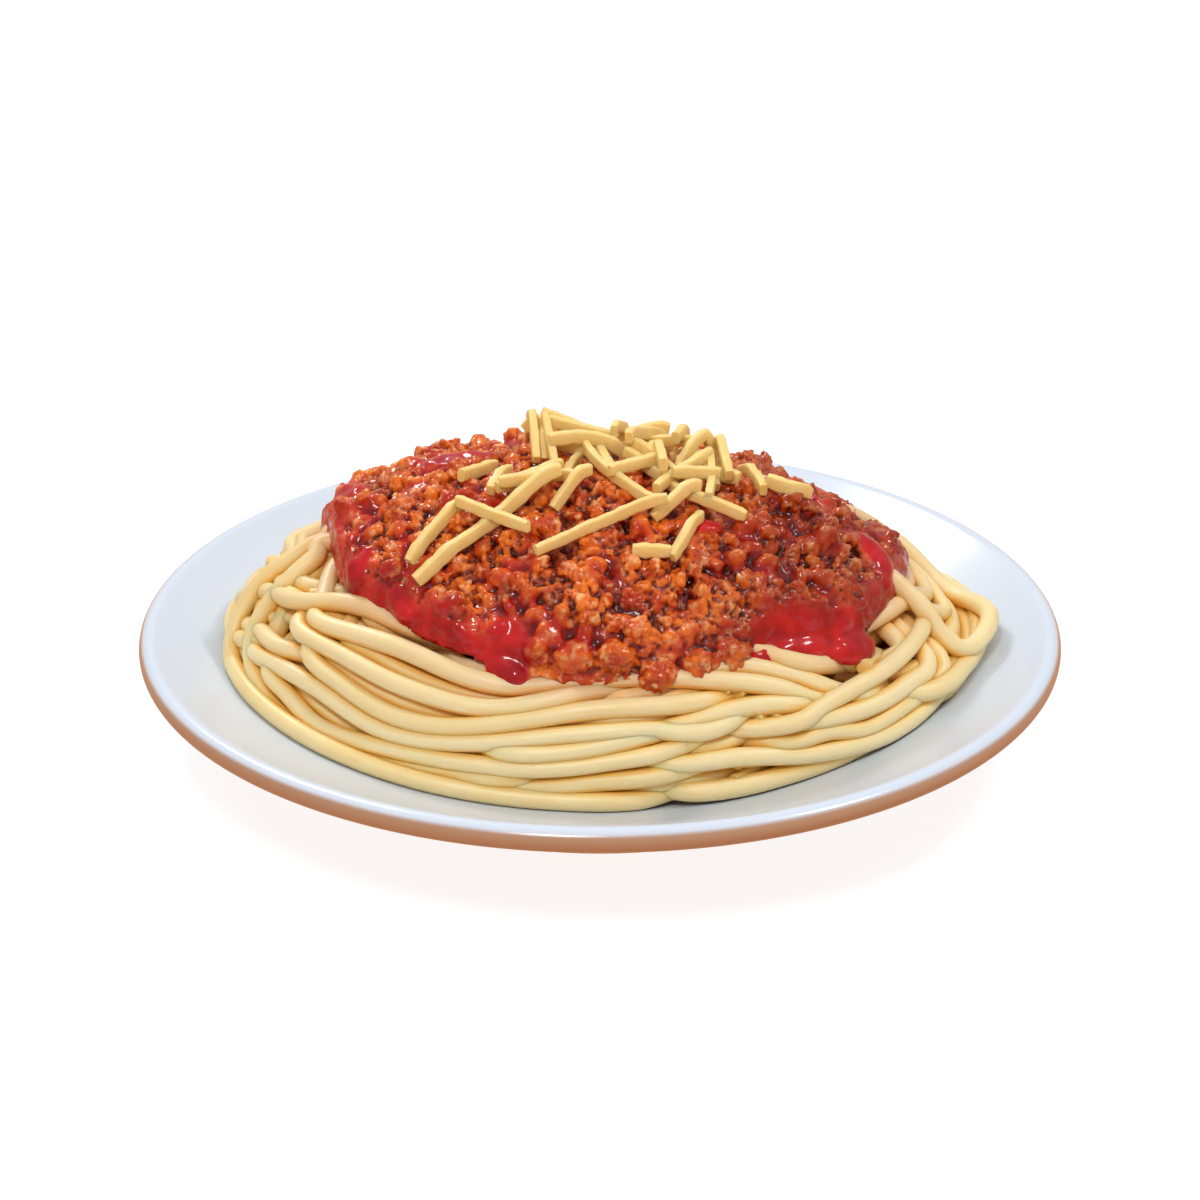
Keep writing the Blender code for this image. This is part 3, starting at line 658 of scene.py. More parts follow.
tree, sizes = node_tree("noodles", (("Sides", "Int"), ("Probe", "Float"), ("Touching", "Float")))
curves = add_node(tree, "GeometryNodeMeshToCurve", {"Mesh": sizes["Mesh"]})
thickness = add_node(tree, "GeometryNodeInputNamedAttribute", {"Name": "thickness"}, data_type="FLOAT")
round_section = add_node(tree, "GeometryNodeCurvePrimitiveCircle", {
    "Resolution": sizes["Sides"], "Radius": 1.0})
swept = add_node(tree, "GeometryNodeCurveToMesh", {
    "Curve": curves.outputs[0], "Profile Curve": round_section.outputs[0], "Scale": thickness.outputs[0],
    "Fill Caps": True})
smooth = add_node(tree, "GeometryNodeSetShadeSmooth", {"Geometry": swept.outputs[0]})
# A point gets painted golden shade where another noodle's middle line comes near a probe in front of it.
facing = add_node(tree, "GeometryNodeInputNormal").outputs["Normal"]
ahead = add_node(tree, "ShaderNodeVectorMath", {0: facing, "Scale": sizes["Probe"]},
                 operation="SCALE").outputs[0]
here = add_node(tree, "GeometryNodeInputPosition").outputs[0]
probe = add_node(tree, "ShaderNodeVectorMath", {0: here, 1: ahead}, operation="ADD").outputs[0]
nearest = add_node(tree, "GeometryNodeProximity", {"Geometry": sizes["Mesh"], "Sample Position": probe},
                   target_element="EDGES").outputs["Distance"]
gap_shade = add_node(tree, "ShaderNodeMapRange", {
    "Value": nearest, 1: sizes["Touching"], 2: CREASE_OPEN * MM, 3: 1.0, 4: 0.0}).outputs[0]
marked = add_node(tree, "GeometryNodeStoreNamedAttribute", {
    "Geometry": smooth.outputs[0], "Name": "gap_shade", "Value": gap_shade}, data_type="FLOAT", domain="POINT")
end_tree(tree, marked.outputs[0], pasta)
noodles = grown(line, "noodle_heap", tree, {
    "Sides": NOODLE_SIDES, "Probe": CREASE_PROBE * MM, "Touching": NOODLE_RADIUS * MM})


def joined(main, other):
    """Adds the other object's mesh to main and removes the other object."""
    body = bmesh.new()
    body.from_mesh(main.data)
    body.from_mesh(other.data)
    body.to_mesh(main.data)
    body.free()
    bpy.data.objects.remove(other, do_unlink=True)
    return main


core_azimuths = np.linspace(0, 360, CORE_SECTORS, endpoint=False)
core_rings = []
for height in np.linspace(WELL_HEIGHT + 0.6, HEAP_BASE + HEAP_RISE - CORE_INSET - 0.05, CORE_ROWS):
    ring = on_heap(core_azimuths, height, CORE_INSET)
    ring[:, 2] = np.maximum(ring[:, 2], plate_top(np.hypot(ring[:, 0], ring[:, 1])) + 0.4)
    core_rings.append(ring)
core = closed_skin("core", core_rings)
store(core.data, depth=np.full(len(core.data.vertices), CORE_DEPTH_SHADE))
core.data.materials.append(pasta)
joined(noodles, core)
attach(noodles, "root")
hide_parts("spaghetti")


# The meat sauce. Tomato passata simmered with crumbled beef mince: a cap of wet crumbs on the
# noodles, with smooth pools of plain sauce at its edges. Crumbs and cap are fused by remeshing.
SAUCE_EDGE = 3.5
SAUCE_MIDDLE = 9.5
SAUCE_FLOOR = 2.0
SAUCE_SINK = 3.0
SAUCE_BACK_DROP = 2.4
SAUCE_SWELLS = (
    (-50, 6, 20, 3.0), (8, -46, 14, 2.0), (40, -28, 15, 1.2), (46, 18, 26, -3.4), (10, 16, 18, -2.2),
)
MOUND_DEPTH = 2.4
SAUCE_VOXEL = 0.55
SAUCE_SIDES = 180
SAUCE_ROWS = 70
# The outermost ring on top, as a share of the sauce's reach, and how fast the clumps, the sinking
# between pools and the crumbs come in from it.
SAUCE_RIM = 0.985
CLUMPS_COME_IN = 14
SINK_COMES_IN = 8
CRUMBS_COME_IN = 18
# Lumps of crumbs stuck together, which swell the cap, and the crumbs themselves.
CLUMP_PITCH = 9.5
CLUMP_RADII = (4.0, 7.6)
CLUMP_RISES = (0.0, 4.2)
CRUMB_GAP = 4.0
CRUMB_RADII = (1.1, 3.0)
CRUMB_KNOBS = 0.7
CRUMB_SEED = 5
# Big lumps at the front edge, as x, y, half length, half width, heading and height.
EDGE_LUMPS = (
    (19, -42.5, 4.2, 3.6, 0, 3.4), (11, -45, 4.5, 3.6, 20, 3.6), (3, -46, 4.4, 3.2, -10, 3.6),
    (-5, -45.5, 4.6, 3.4, 15, 3.6), (-12, -44, 3.6, 3.0, 40, 3.0), (25, -40, 5.4, 4, 10, 3.2),
    (-20, -40, 4, 3, 0, 0.8), (48, -24, 5, 3.5, 30, 1.0), (31, -31, 6, 4, 10, 1.4),
)
# Smooth pools, as x, y, half length, half width, heading in degrees and added thickness.
POOLS = (
    (-17.5, -43.5, 6.3, 4.4, -60, 1.4), (38, -36, 10, 3.4, 24, 1.2), (50, -30.5, 7, 4, 30, 0.9),
    (-48, -19, 4.5, 3.5, 60, 1.2), (-52, 8, 7, 4.5, 100, 0.6), (-30, 6, 9, 4, 10, 0.4),
    (41, -1, 8, 5, -20, 0.3), (56, -10, 8, 4, -60, 0.8), (20, -22, 5, 3, 20, 0.2),
    (-39, -31, 4.5, 2.6, -50, 0.3), (2, 30, 12, 7, 20, 0.3), (-40, 30, 9, 6, 60, 0.6),
    (45, 30, 9, 6, -40, 0.6),
)


def sauce_top(points):
    """Height of the sauce's mean surface, with its broad swells."""
    azimuth, share = heap_polar(points)
    out = np.minimum(1, share / sauce_reach(azimuth))
    height = heap_top(points) + SAUCE_EDGE + (SAUCE_MIDDLE - SAUCE_EDGE) * (1 - out ** 2.2)
    height = height - SAUCE_BACK_DROP * np.clip((points[..., 1] - HEAP_Y) / 20 + 0.4, 0, 1)
    for x, y, radius, rise in SAUCE_SWELLS:
        apart = (points[..., 0] - x) ** 2 + (points[..., 1] - y) ** 2
        height = height + rise * np.exp(-apart / radius ** 2)
    return height


def pool_share(points):
    """1 in the middle of a smooth pool, 0 outside it."""
    share = np.zeros(len(points))
    for x, y, length, width, heading, _ in POOLS:
        turn = math.radians(heading)
        across, along = points[:, 0] - x, points[:, 1] - y
        u = (across * math.cos(turn) + along * math.sin(turn)) / length
        v = (along * math.cos(turn) - across * math.sin(turn)) / width
        share = np.maximum(share, np.clip(1.6 - 1.6 * np.hypot(u, v) ** 2, 0, 1))
    return share


def sauce_ring(share):
    azimuth = np.linspace(0, 360, SAUCE_SIDES, endpoint=False)
    turn, out = np.radians(azimuth), share * sauce_reach(azimuth)
    return np.column_stack([HEAP_HALF_X * out * np.cos(turn),
                            HEAP_Y + HEAP_HALF_Y * out * np.sin(turn), 0 * turn])


def rows_of(items, what, width=3, kind=np.float32):
    """What the vertices or edges of a mesh hold, one row for each."""
    flat = np.empty(len(items) * width, kind)
    items.foreach_get(what, flat)
    return flat.reshape(-1, width)


sauce_rings = []
for share, rise in ((0.02, 0), (0.25, 0), (0.5, 0), (0.7, 0), (0.85, 0), (0.94, 0), (SAUCE_RIM, 0),
                    (1.0, 0.25), (1.0, 0.6)):
    ring = sauce_ring(share)
    ring[:, 2] = heap_top(ring) - SAUCE_FLOOR + rise * SAUCE_EDGE
    sauce_rings.append(ring)
rings_below = len(sauce_rings)
rng = random.Random(7)
clumps = []
for row in range(round(2 * HEAP_HALF_Y / CLUMP_PITCH)):
    for column in range(round(2 * HEAP_HALF_X / CLUMP_PITCH)):
        clumps.append((-HEAP_HALF_X + (column + row % 2 / 2 + rng.uniform(-0.4, 0.4)) * CLUMP_PITCH,
                       HEAP_Y - HEAP_HALF_Y + (row + rng.uniform(-0.4, 0.4)) * CLUMP_PITCH,
                       rng.uniform(*CLUMP_RADII), rng.uniform(*CLUMP_RISES)))
for share in np.concatenate([[SAUCE_RIM], np.linspace(0.97, 0.02, SAUCE_ROWS)]):
    ring = sauce_ring(share)
    lump = np.zeros(len(ring))
    for x, y, radius, rise in clumps:
        apart = ((ring[:, 0] - x) ** 2 + (ring[:, 1] - y) ** 2) / radius ** 2
        lump = np.maximum(lump, rise * np.sqrt(np.clip(1 - apart, 0, 1)))
    fade = np.clip((1 - share) * CLUMPS_COME_IN, 0, 1) * (1 - pool_share(ring))
    sink = SAUCE_SINK * min(1, (1 - share) * SINK_COMES_IN)
    ring[:, 2] = sauce_top(ring) - sink * (1 - pool_share(ring)) + lump * fade
    sauce_rings.append(ring)
cap = closed_skin("sauce_cap", sauce_rings)
cap_points = rows_of(cap.data.vertices, "co").astype(float) / MM
upper = np.arange(len(cap_points)) >= rings_below * SAUCE_SIDES
azimuth, share = heap_polar(cap_points)
inner = np.clip((SAUCE_RIM - share / sauce_reach(azimuth)) * CRUMBS_COME_IN, 0, 1)
store(cap.data, crumbs=upper * inner * (1 - pool_share(cap_points)))

# Simmered meat sauce: mince browned to orange under tomato and its oil, with pale flecks that are
# partly painted highlight, crimson where only sauce lies, all wet with a sharp glossy coat. Painted
# shade darkens it towards the right and between clumps, and makes it almost black in the crevices.
MINCE_BROWN = "B83404"
MINCE_ORANGE = "EE7A1C"
FLECK_AND_GLINT_COLOUR = "F5B070"
TOMATO_DEEP = "A20C12"
TOMATO_BRIGHT = "C81A1A"
SHADE_COLOUR = "7C1404"
PAINTED_CREVICE_SHADE_COLOUR = "3A0502"
ragu, tree, output, place = new_material("meat_sauce_simmered")
meat, hollow, shade = (add_node(tree, "ShaderNodeAttribute", attribute_name=name).outputs["Fac"]
                       for name in ("meat", "hollow", "shade"))
patch = add_node(tree, "ShaderNodeTexNoise", {"Vector": place, "Scale": 160, "Detail": 4, "Roughness": 0.6})
# Pale flecks: partly lighter bits of mince, partly painted highlight.
fleck_and_glint = add_node(tree, "ShaderNodeTexNoise", {"Vector": place, "Scale": 520, "Detail": 3}).outputs["Fac"]
crumbly = add_node(tree, "ShaderNodeMapRange", {"Value": patch.outputs["Fac"], 1: 0.38, 2: 0.62}).outputs[0]
pale = add_node(tree, "ShaderNodeMapRange", {"Value": fleck_and_glint, 1: 0.52, 2: 0.7}).outputs[0]
mince, tomato = (add_node(tree, "ShaderNodeMix", {0: crumbly, 6: linear(dark), 7: linear(light)},
                          data_type="RGBA").outputs[2]
                 for dark, light in ((MINCE_BROWN, MINCE_ORANGE), (TOMATO_DEEP, TOMATO_BRIGHT)))
mince = add_node(tree, "ShaderNodeMix", {0: pale, 6: mince, 7: linear(FLECK_AND_GLINT_COLOUR)}, data_type="RGBA")
body = add_node(tree, "ShaderNodeMix", {0: meat, 6: tomato, 7: mince.outputs[2]}, data_type="RGBA")
for share, colour in ((shade, SHADE_COLOUR), (hollow, PAINTED_CREVICE_SHADE_COLOUR)):
    body = add_node(tree, "ShaderNodeMix", {0: share, 6: body.outputs[2], 7: linear(colour)},
                    data_type="RGBA")
fine = add_node(tree, "ShaderNodeTexNoise", {"Vector": place, "Scale": 1100, "Detail": 3}).outputs["Fac"]
rough_part = add_node(tree, "ShaderNodeMath", {0: fine, 1: meat}, operation="MULTIPLY").outputs[0]
skin = add_node(tree, "ShaderNodeBump", {"Height": rough_part, "Strength": 0.8, "Distance": 0.35 * MM})
shader = add_node(tree, "ShaderNodeBsdfPrincipled", {
    "Base Color": body.outputs[2], "Roughness": 0.3, "IOR": 1.35, "Specular IOR Level": 0.2,
    "Normal": skin.outputs[0], "Coat Weight": 0.65, "Coat Roughness": 0.07, "Coat IOR": 1.45})
tree.links.new(shader.outputs[0], output.inputs[0])

tree, sizes = node_tree("mince", (
    ("Gap", "Float"), ("Least Radius", "Float"), ("Most Radius", "Float"), ("Knobs", "Float"),
    ("Seed", "Int")))
wanted = add_node(tree, "GeometryNodeInputNamedAttribute", {"Name": "crumbs"}, data_type="FLOAT")
spots = add_node(tree, "GeometryNodeDistributePointsOnFaces", {
    "Mesh": sizes["Mesh"], "Distance Min": sizes["Gap"], "Density Max": 3e5,
    "Density Factor": wanted.outputs[0], "Seed": sizes["Seed"]}, distribute_method="POISSON")
radius = add_node(tree, "FunctionNodeRandomValue", {
    2: sizes["Least Radius"], 3: sizes["Most Radius"], "Seed": sizes["Seed"]}, data_type="FLOAT")
squash = add_node(tree, "FunctionNodeRandomValue", {
    0: (0.75, 0.75, 0.6), 1: (1.25, 1.25, 1.0), "Seed": sizes["Seed"]}, data_type="FLOAT_VECTOR")
scale = add_node(tree, "ShaderNodeVectorMath", {0: squash.outputs[0], 3: 1.0}, operation="SCALE")
tree.links.new(radius.outputs[1], scale.inputs["Scale"])
turn = add_node(tree, "FunctionNodeRandomValue", {1: (6.28, 6.28, 6.28), "Seed": sizes["Seed"]},
                data_type="FLOAT_VECTOR")
crumb = add_node(tree, "GeometryNodeMeshIcoSphere", {"Radius": 1.0, "Subdivisions": 3})
crumbs = add_node(tree, "GeometryNodeInstanceOnPoints", {
    "Points": spots.outputs["Points"], "Instance": crumb.outputs[0], "Rotation": turn.outputs[0],
    "Scale": scale.outputs[0]})
loose = add_node(tree, "GeometryNodeRealizeInstances", {"Geometry": crumbs.outputs[0]})
knob = add_node(tree, "ShaderNodeTexNoise", {"Scale": 330, "Detail": 2})
centred = add_node(tree, "ShaderNodeVectorMath", {0: knob.outputs["Color"], 1: (0.5, 0.5, 0.5)},
                   operation="SUBTRACT")
offset = add_node(tree, "ShaderNodeVectorMath", {0: centred.outputs[0], "Scale": sizes["Knobs"]},
                  operation="SCALE")
shaped = add_node(tree, "GeometryNodeSetPosition", {
    "Geometry": loose.outputs[0], "Offset": offset.outputs[0]})
both = add_node(tree, "GeometryNodeJoinGeometry", {0: sizes["Mesh"]})
tree.links.new(shaped.outputs[0], both.inputs[0])
end_tree(tree, both.outputs[0], ragu)
sauce = grown(cap.data, "meat_and_tomato_sauce", tree, {
    "Gap": CRUMB_GAP * MM, "Least Radius": CRUMB_RADII[0] * MM, "Most Radius": CRUMB_RADII[1] * MM,
    "Knobs": 2 * CRUMB_KNOBS * MM, "Seed": CRUMB_SEED})
bpy.data.objects.remove(cap, do_unlink=True)


def add_mound(body, x, y, length, width, heading, rise):
    """Adds an ellipsoid that lies on the sauce, or on the noodles next to it."""
    spot = np.array([[x, y, 0.0]])
    azimuth, share = heap_polar(spot)
    on_sauce = share[0] <= sauce_reach(azimuth)[0]
    height = sauce_top(spot)[0] if on_sauce else heap_top(spot)[0]
    _, up = heap_depth(np.array([[x, y, height - SAUCE_EDGE]]))
    axis_z = Vector(up[0])
    turn = math.radians(heading)
    axis_x = Vector((math.cos(turn), math.sin(turn), 0))
    axis_x = (axis_x - axis_z * axis_x.dot(axis_z)).normalized()
    axis_y = axis_z.cross(axis_x)
    middle = Vector((x, y, height)) - axis_z * MOUND_DEPTH
    for vertex in bmesh.ops.create_icosphere(body, subdivisions=4, radius=1.0)["verts"]:
        local = vertex.co.copy()
        vertex.co = (middle + axis_x * local.x * length + axis_y * local.y * width
                     + axis_z * local.z * (MOUND_DEPTH + rise)) * MM


body = bmesh.new()
body.from_mesh(sauce.data)
for mound in POOLS + EDGE_LUMPS:
    add_mound(body, *mound)
body.to_mesh(sauce.data)
body.free()

# What lies this far below the top of the heap is hidden, and its mesh is thinned.
BURIED_BELOW = 0.9
MESH_KEPT = 0.6
HIDDEN_WEIGHT = 10.0
remesh = sauce.modifiers.new("fuse", "REMESH")
remesh.mode = "VOXEL"
remesh.voxel_size = SAUCE_VOXEL * MM
soften = sauce.modifiers.new("soften", "SMOOTH")
soften.factor = 0.5
soften.iterations = 2
applied(sauce)
rough_spots = rows_of(sauce.data.vertices, "co").astype(float) / MM
buried = heap_top(rough_spots) - rough_spots[:, 2] > BURIED_BELOW
underneath = sauce.vertex_groups.new(name="underneath")
underneath.add(np.flatnonzero(buried).tolist(), 1.0, "REPLACE")
thin_out = sauce.modifiers.new("thin_out", "DECIMATE")
thin_out.ratio = MESH_KEPT
thin_out.vertex_group = "underneath"
thin_out.vertex_group_factor = HIDDEN_WEIGHT
applied(sauce)


# Granules of mince as cell size and height, each level finer, and patches where sauce fills them.
GRANULES = ((3.9, 1.3), (2.0, 0.75))
GRANULE_WARP = (1.3, 0.6)
FILM_PATCH = 8.0
FILM_MOST = 0.85
RIPPLE = (3.2, 0.6)
GRIT = (0.9, 0.4)
GRAIN_SEED = 5
# The rim runs smooth from this share of the sauce's reach, over this width, but stays lumpy in
# front, where the big lumps hang round this x and up to this far to either side.
RIM_START = 0.93
RIM_WIDTH = 0.06
LUMPS_X = 5
LUMPS_HALF_WIDTH = 24
CALM_RIM = 0.7
CALM_LUMPS = 0.2
# Rounds of evening out that take away the granules, and then the clumps.
EVEN_ROUNDS = 14
BROAD_ROUNDS = 70


def evened(values, edges, rounds):
    """The values after they are replaced, round by round, by the mean over their neighbours."""
    one, two = edges[:, 0], edges[:, 1]
    neighbours = np.bincount(one, minlength=len(values)) + np.bincount(two, minlength=len(values))
    for _ in range(rounds):
        total = [np.bincount(one, column[two], len(values)) + np.bincount(two, column[one], len(values))
                 for column in values.T]
        values = np.column_stack(total) / np.maximum(neighbours, 1)[:, None]
    return values


def rim_share(spots):
    """How far out on the sauce's rim the spots lie, and whether beside the lumps in front."""
    azimuth, share = heap_polar(spots)
    beside = np.abs(spots[:, 0] - LUMPS_X) > LUMPS_HALF_WIDTH
    return np.clip((share / sauce_reach(azimuth) - RIM_START) / RIM_WIDTH, 0, 1), beside


spots = rows_of(sauce.data.vertices, "co").astype(float) / MM
normals = rows_of(sauce.data.vertices, "normal").astype(float)
pairs = rows_of(sauce.data.edges, "vertices", 2, np.int32)
pool = pool_share(spots)
grain, film, ripple = np.zeros((3, len(spots)))
noise.seed_set(GRAIN_SEED)
for number, point in enumerate(spots):
    spot = Vector(point)
    film[number] = noise.noise(spot / FILM_PATCH)
    ripple[number] = RIPPLE[1] * noise.noise(spot / RIPPLE[0])
    if pool[number] < 1:
        grain[number] = GRIT[1] * noise.noise(spot / GRIT[0])
        for size, strength in GRANULES:
            warped = spot / size + noise.noise_vector(spot / (GRANULE_WARP[0] * size)) * GRANULE_WARP[1]
            near, far = noise.voronoi(warped)[0][:2]
            grain[number] += strength * (min(1, 2.4 * (far - near)) ** 0.5 - 0.6)
film = np.clip(film * 3 - 0.1, 0, FILM_MOST)
rim, beside = rim_share(spots)
calm = 1 - rim * np.where(beside, CALM_RIM, CALM_LUMPS)
spots += normals * (grain * calm * (1 - pool) * (1 - film) + ripple * np.maximum(pool, film))[:, None]
even = evened(spots, pairs, EVEN_ROUNDS)
broad = evened(even, pairs, BROAD_ROUNDS)
# Meat shows on what bulges, and sauce gathers at the rim. Painted shade darkens the crevices
# between granules, the valleys between clumps and the right side.
bulge = np.einsum("ij,ij->i", spots - even, normals)
valley = np.einsum("ij,ij->i", even - broad, normals)
rim, beside = rim_share(spots)
meat_share = np.clip(0.75 + 0.8 * bulge - 0.6 * film, 0, 1) * (1 - pool) * (1 - rim * beside)
hollow_share = np.clip(-(bulge + 0.05) / 0.6, 0, 1) * (1 - 0.7 * pool)
shade_share = 0.5 * np.clip((spots[:, 0] - 12) / 25, 0, 1) + 0.7 * np.clip(-valley / 0.8, 0, 1)
shade_share = np.clip(shade_share, 0, 0.9) * (1 - pool)
sauce.data.vertices.foreach_set("co", (spots * MM).astype(np.float32).ravel())
store(sauce.data, meat=meat_share, hollow=hollow_share, shade=shade_share)
sauce.data.shade_smooth()
sauce.data.materials.clear()
sauce.data.materials.append(ragu)
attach(sauce, "root")
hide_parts("meat_sauce")


# The grated cheese. Shreds of a mild pale yellow cheese from the coarse side of a grater: flat
# sticks with soft edges, dropped one after another, so each bridges what lies below it.
SHRED_WIDTH = 2.8
SHRED_THICKNESS = 1.8
SHRED_EDGE = 0.5
SHRED_STEP = 1.2
SHRED_SINK = 0.35
SHRED_SAG = 0.02
SHRED_ROUNDS = 300
# A shred rests on each one nearer than the first share of its width, at the second share of its
# thickness above its middle.
SHRED_REACH = 0.9
SHRED_PACKING = 0.62
# The share of the resulting bend that is taken out again, which raises it by this at most.
SHRED_STRAIGHTNESS = 0.65
SHRED_RAISE = 0.6
# A shred narrows to this share over its last steps, is uneven along it and varies from the rest.
SHRED_END = 0.86
SHRED_END_STEPS = 1.5
SHRED_UNEVEN = (0.9, 1.1)
SHRED_VARIES = (0.88, 1.08)
# Each as x, y, heading in degrees, length and sideways bend.
SHREDS = (
    (-14, 6, -84, 24, 0), (-10, -3, -77, 11, 0), (-20, -11, -110, 10, 0), (-14, -13, 211, 15, 0),
    (-14, -16, 194, 12, 0.5), (23, -19.5, -17, 12, 0.5), (22, -10, -92, 19, 0.6), (15, -20.5, 33, 11, 0),
    (16.5, -10.5, 53, 19, 0.5), (19, -13, 22, 10, 0), (3, -13.5, -54, 23, -2.2), (7, -12.5, 36, 13, 0.4),
    (-2, -2.5, 11, 17, 0.5), (-5.5, -18, 37, 9, 0), (9, 3, 68, 20, 1), (6, 11.5, 12, 17, 1),
    (-5, 8, -4, 14, 0.5), (12, -9, -85, 12, 0), (17, 7, -100, 15, 1), (20, 0.5, 43, 11, 0),
    (25, -1.5, -82, 13, 0), (4, 8, 78, 12, 0),
    (0, -27.5, 19, 27, 2.4), (-22, -23, 205, 31, -0.6), (-32.5, -22, 45, 14, 0.3), (-21, -24, -37, 18, 0.4),
    (17, -27, -119, 12, 0.3), (10, -32, 6, 7.5, 0), (-24.5, -5, -123, 12, 0), (31, -4, -74, 14, 0.5),
    (38, -9, 16, 9, -2),
)
# The covered shreds below them: how many, and the ranges of x, y, heading, length and bend.
UNDER_SHREDS = 13
UNDER_RANGES = ((-12, 22), (-12, 7), (0, 180), (10, 19), (-1, 1))


def surface_of(obj):
    mesh = obj.data
    return BVHTree.FromPolygons([vertex.co / MM for vertex in mesh.vertices],
                                [tuple(face.vertices) for face in mesh.polygons])


def height_over(tree, x, y):
    spot = tree.ray_cast(Vector((x, y, 200)), Vector((0, 0, -1)))[0]
    return spot.z if spot else 0.0


rng = random.Random(3)
rows = []
for _ in range(UNDER_SHREDS):
    rows.append(tuple(rng.uniform(*limits) for limits in UNDER_RANGES))
rows += SHREDS
sauce_tree = surface_of(sauce)
laid = []
shred_points, shred_edges, shred_sizes, shred_tints = [], [], [], []
for x, y, heading, length, bend in rows:
    turn = math.radians(heading)
    along = np.array([math.cos(turn), math.sin(turn)])
    across = np.array([-math.sin(turn), math.cos(turn)])
    steps = max(6, round(length / SHRED_STEP))
    share = np.linspace(-1, 1, steps + 1)
    plan = np.array([x, y]) + np.outer(share * length / 2, along)
    plan = plan + np.outer(bend * (1 - 2 * share ** 2) / 2, across)
    low = np.zeros(steps + 1)
    for number, spot in enumerate(plan):
        for side in (-0.45, 0, 0.45):
            probe = spot + across * side * SHRED_WIDTH
            low[number] = max(low[number], height_over(sauce_tree, *probe))
    low += SHRED_THICKNESS / 2 - SHRED_SINK
    for other in laid:
        apart = np.linalg.norm(plan[:, None] - other[None, :, :2], axis=2)
        near = apart.min(axis=1) < SHRED_WIDTH * SHRED_REACH
        over = other[apart.argmin(axis=1), 2] + SHRED_THICKNESS * SHRED_PACKING
        low = np.where(near, np.maximum(low, over), low)
    height = low.copy()
    for _ in range(SHRED_ROUNDS):
        height[1:-1] = np.maximum(low[1:-1], (height[:-2] + height[2:]) / 2 - SHRED_SAG)
        height[0] = max(low[0], 2 * height[1] - height[2] - SHRED_SAG)
        height[-1] = max(low[-1], 2 * height[-2] - height[-3] - SHRED_SAG)
    middle = steps // 2
    slope = (height[middle + 2] - height[middle - 2]) / 4
    straight = height[middle] + slope * (np.arange(steps + 1) - middle)
    straight += max(0, (height - straight).max())
    height += np.minimum(SHRED_STRAIGHTNESS * (straight - height), SHRED_RAISE)
    path = np.column_stack([plan, height])
    laid.append(path)
    first = len(shred_points)
    shred_points += path.tolist()
    shred_edges += [(first + k, first + k + 1) for k in range(steps)]
    from_end = np.minimum(np.arange(steps + 1), np.arange(steps, -1, -1))
    ends = np.minimum(1, SHRED_END + (1 - SHRED_END) * from_end / SHRED_END_STEPS)
    uneven = np.array([rng.uniform(*SHRED_UNEVEN) for _ in ends])
    shred_sizes += (ends * uneven * rng.uniform(*SHRED_VARIES)).tolist()
    shred_tints += [rng.random()] * (steps + 1)
line = bpy.data.meshes.new("shred_lines")
line.from_pydata((np.array(shred_points) * MM).tolist(), shred_edges, [])
store(line, thickness=shred_sizes, tint=shred_tints)

# Mild grated cheese: a pale yellow milk curd, waxy and slightly translucent, dull on its cut faces.
CURD_PALE = "EACA72"
CURD_DEEP = "E2B85A"
CURD_CLOUD = "F2DA98"
cheese, tree, output, place = new_material("cheese_grated")
tone = add_node(tree, "ShaderNodeAttribute", attribute_name="tint").outputs["Fac"]
cloud = add_node(tree, "ShaderNodeTexNoise", {"Vector": place, "Scale": 260, "Detail": 3}).outputs["Fac"]
curd = add_node(tree, "ShaderNodeMix", {0: tone, 6: linear(CURD_PALE), 7: linear(CURD_DEEP)},
                data_type="RGBA")
curd = add_node(tree, "ShaderNodeMix", {0: cloud, 6: curd.outputs[2], 7: linear(CURD_CLOUD)},
                data_type="RGBA")
grain = add_node(tree, "ShaderNodeTexNoise", {"Vector": place, "Scale": 800, "Detail": 3}).outputs["Fac"]
skin = add_node(tree, "ShaderNodeBump", {"Height": grain, "Strength": 0.4, "Distance": 0.25 * MM})
shader = add_node(tree, "ShaderNodeBsdfPrincipled", {
    "Base Color": curd.outputs[2], "Roughness": 0.45, "IOR": 1.45, "Normal": skin.outputs[0],
    "Subsurface Weight": 0.5, "Subsurface Radius": (1.0, 0.7, 0.25), "Subsurface Scale": 1.2 * MM})
tree.links.new(shader.outputs[0], output.inputs[0])

tree, sizes = node_tree("shreds", (("Width", "Float"), ("Thickness", "Float"), ("Edge", "Float")))
curves = add_node(tree, "GeometryNodeMeshToCurve", {"Mesh": sizes["Mesh"]})
thickness = add_node(tree, "GeometryNodeInputNamedAttribute", {"Name": "thickness"}, data_type="FLOAT")
level = add_node(tree, "GeometryNodeSetCurveNormal", {"Curve": curves.outputs[0]}, mode="Z_UP")
flat = add_node(tree, "GeometryNodeCurvePrimitiveQuadrilateral", {
    "Width": sizes["Thickness"], "Height": sizes["Width"]})
soft = add_node(tree, "GeometryNodeFilletCurve", {
    "Curve": flat.outputs[0], "Radius": sizes["Edge"], "Count": 3, "Limit Radius": True}, mode="POLY")
swept = add_node(tree, "GeometryNodeCurveToMesh", {
    "Curve": level.outputs[0], "Profile Curve": soft.outputs[0], "Scale": thickness.outputs[0],
    "Fill Caps": True})
smooth = add_node(tree, "GeometryNodeSetShadeSmooth", {"Geometry": swept.outputs[0]})
end_tree(tree, smooth.outputs[0], cheese)
shreds = grown(line, "cheese_shreds", tree, {
    "Width": SHRED_WIDTH * MM, "Thickness": SHRED_THICKNESS * MM, "Edge": SHRED_EDGE * MM})
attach(shreds, "root")
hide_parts("grated_cheese", *[f"cheese_shred_{number}" for number in range(1, 10)])


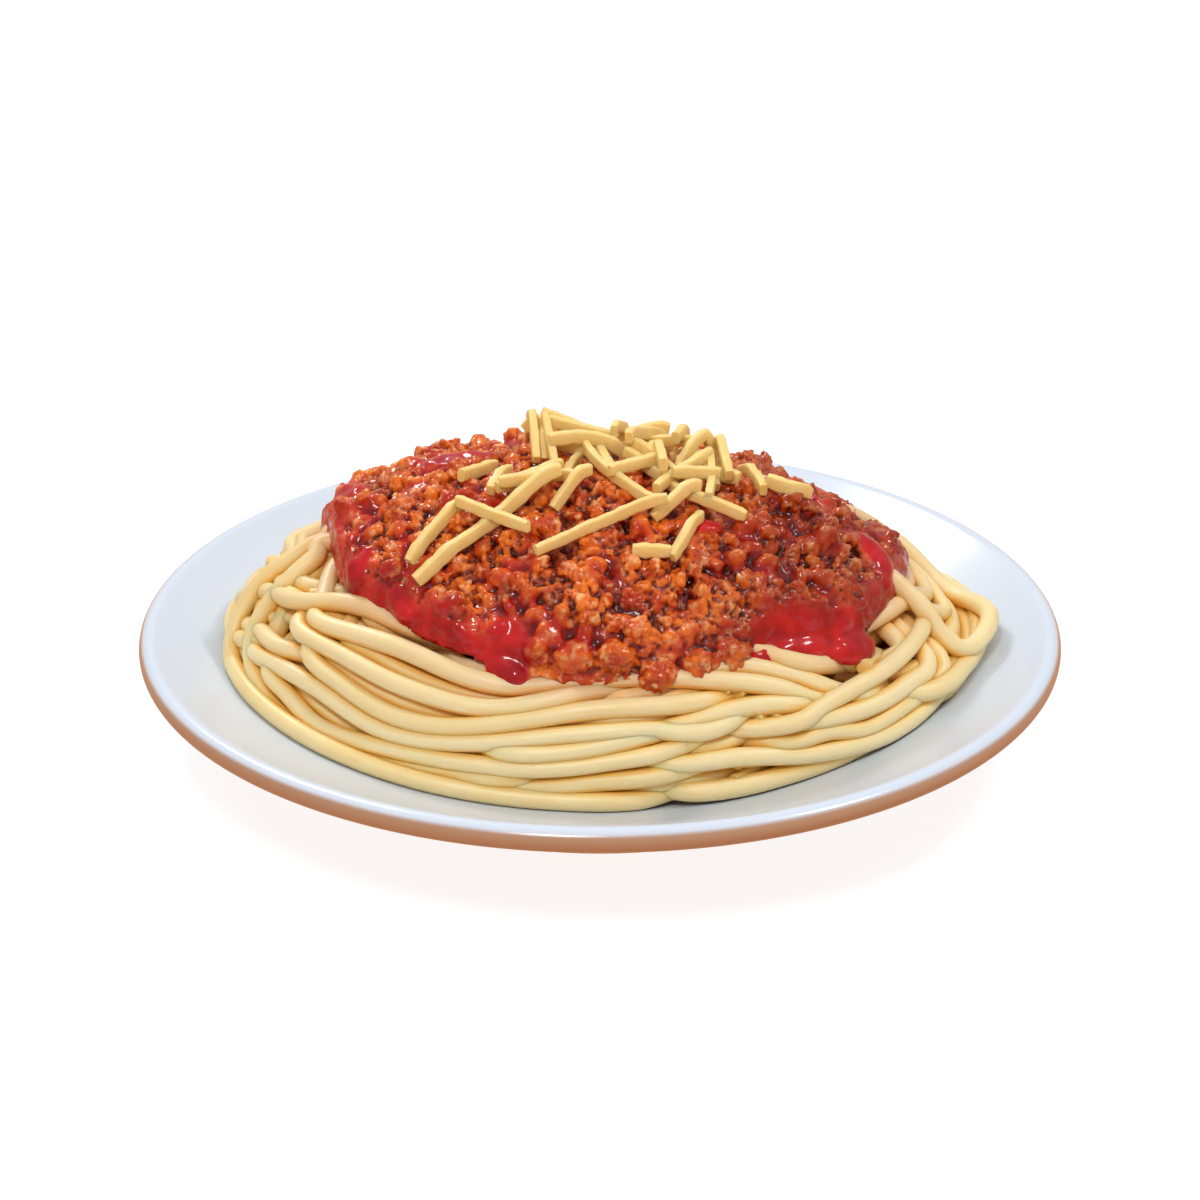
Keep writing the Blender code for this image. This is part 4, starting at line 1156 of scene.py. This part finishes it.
# The table and the light: a plain white table top under an even pale sky, with soft lamps behind
# the dish, at its right and in front. The wood round the table sends warm light up to the
# plate's underside.
TABLE_SIZE = 6000
TABLE_COLOUR = "8E979F"
TABLE_GLOW = 0.85
SKY_LIGHT = "BBBEC3"
WOOD_LIGHT = "E8B48F"
# Heights of a ray's direction between which the wood's light gives way to the sky's.
HORIZON = (-0.05, 0.35)
# Each lamp's name, place and width in mm, and power in watts.
LAMPS = (
    ("window", (-260, 420, 560), 150, 1.9), ("skylight", (380, -60, 600), 110, 1.2),
    ("front", (-120, -540, 700), 150, 2.65),
)
table_mesh = bpy.data.meshes.new("table")
half = TABLE_SIZE / 2 * MM
corners = [(-half, -half, 0), (half, -half, 0), (half, half, 0), (-half, half, 0)]
table_mesh.from_pydata(corners, [], [(0, 1, 2, 3)])
table = bpy.data.objects.new("table", table_mesh)
bpy.context.scene.collection.objects.link(table)
paint, tree, output, _ = new_material("table_white")
shader = add_node(tree, "ShaderNodeBsdfPrincipled", {
    "Base Color": linear(TABLE_COLOUR), "Roughness": 0.9, "Emission Color": linear("FFFFFF"),
    "Emission Strength": TABLE_GLOW})
tree.links.new(shader.outputs[0], output.inputs[0])
table_mesh.materials.append(paint)
table.visible_diffuse = False
table.visible_glossy = False

world = bpy.data.worlds.new("room")
world.use_nodes = True
tree = world.node_tree
way = add_node(tree, "ShaderNodeTexCoord").outputs["Generated"]
up = add_node(tree, "ShaderNodeSeparateXYZ", {0: way}).outputs["Z"]
above = add_node(tree, "ShaderNodeMapRange", {"Value": up, 1: HORIZON[0], 2: HORIZON[1]}).outputs[0]
sky = add_node(tree, "ShaderNodeMix", {0: above, 6: linear(WOOD_LIGHT), 7: linear(SKY_LIGHT)},
               data_type="RGBA")
tree.links.new(sky.outputs[2], tree.nodes["Background"].inputs[0])
bpy.context.scene.world = world

for name, place_at, size, power in LAMPS:
    lamp = bpy.data.lights.new(name, "AREA")
    lamp.size = size * MM
    lamp.energy = power
    source = bpy.data.objects.new(name, lamp)
    source.location = Vector(place_at) * MM
    source.rotation_euler = (-Vector(place_at)).to_track_quat("-Z", "Y").to_euler()
    bpy.context.scene.collection.objects.link(source)

view = bpy.context.scene.view_settings
view.view_transform = "Standard"
view.look = "None"
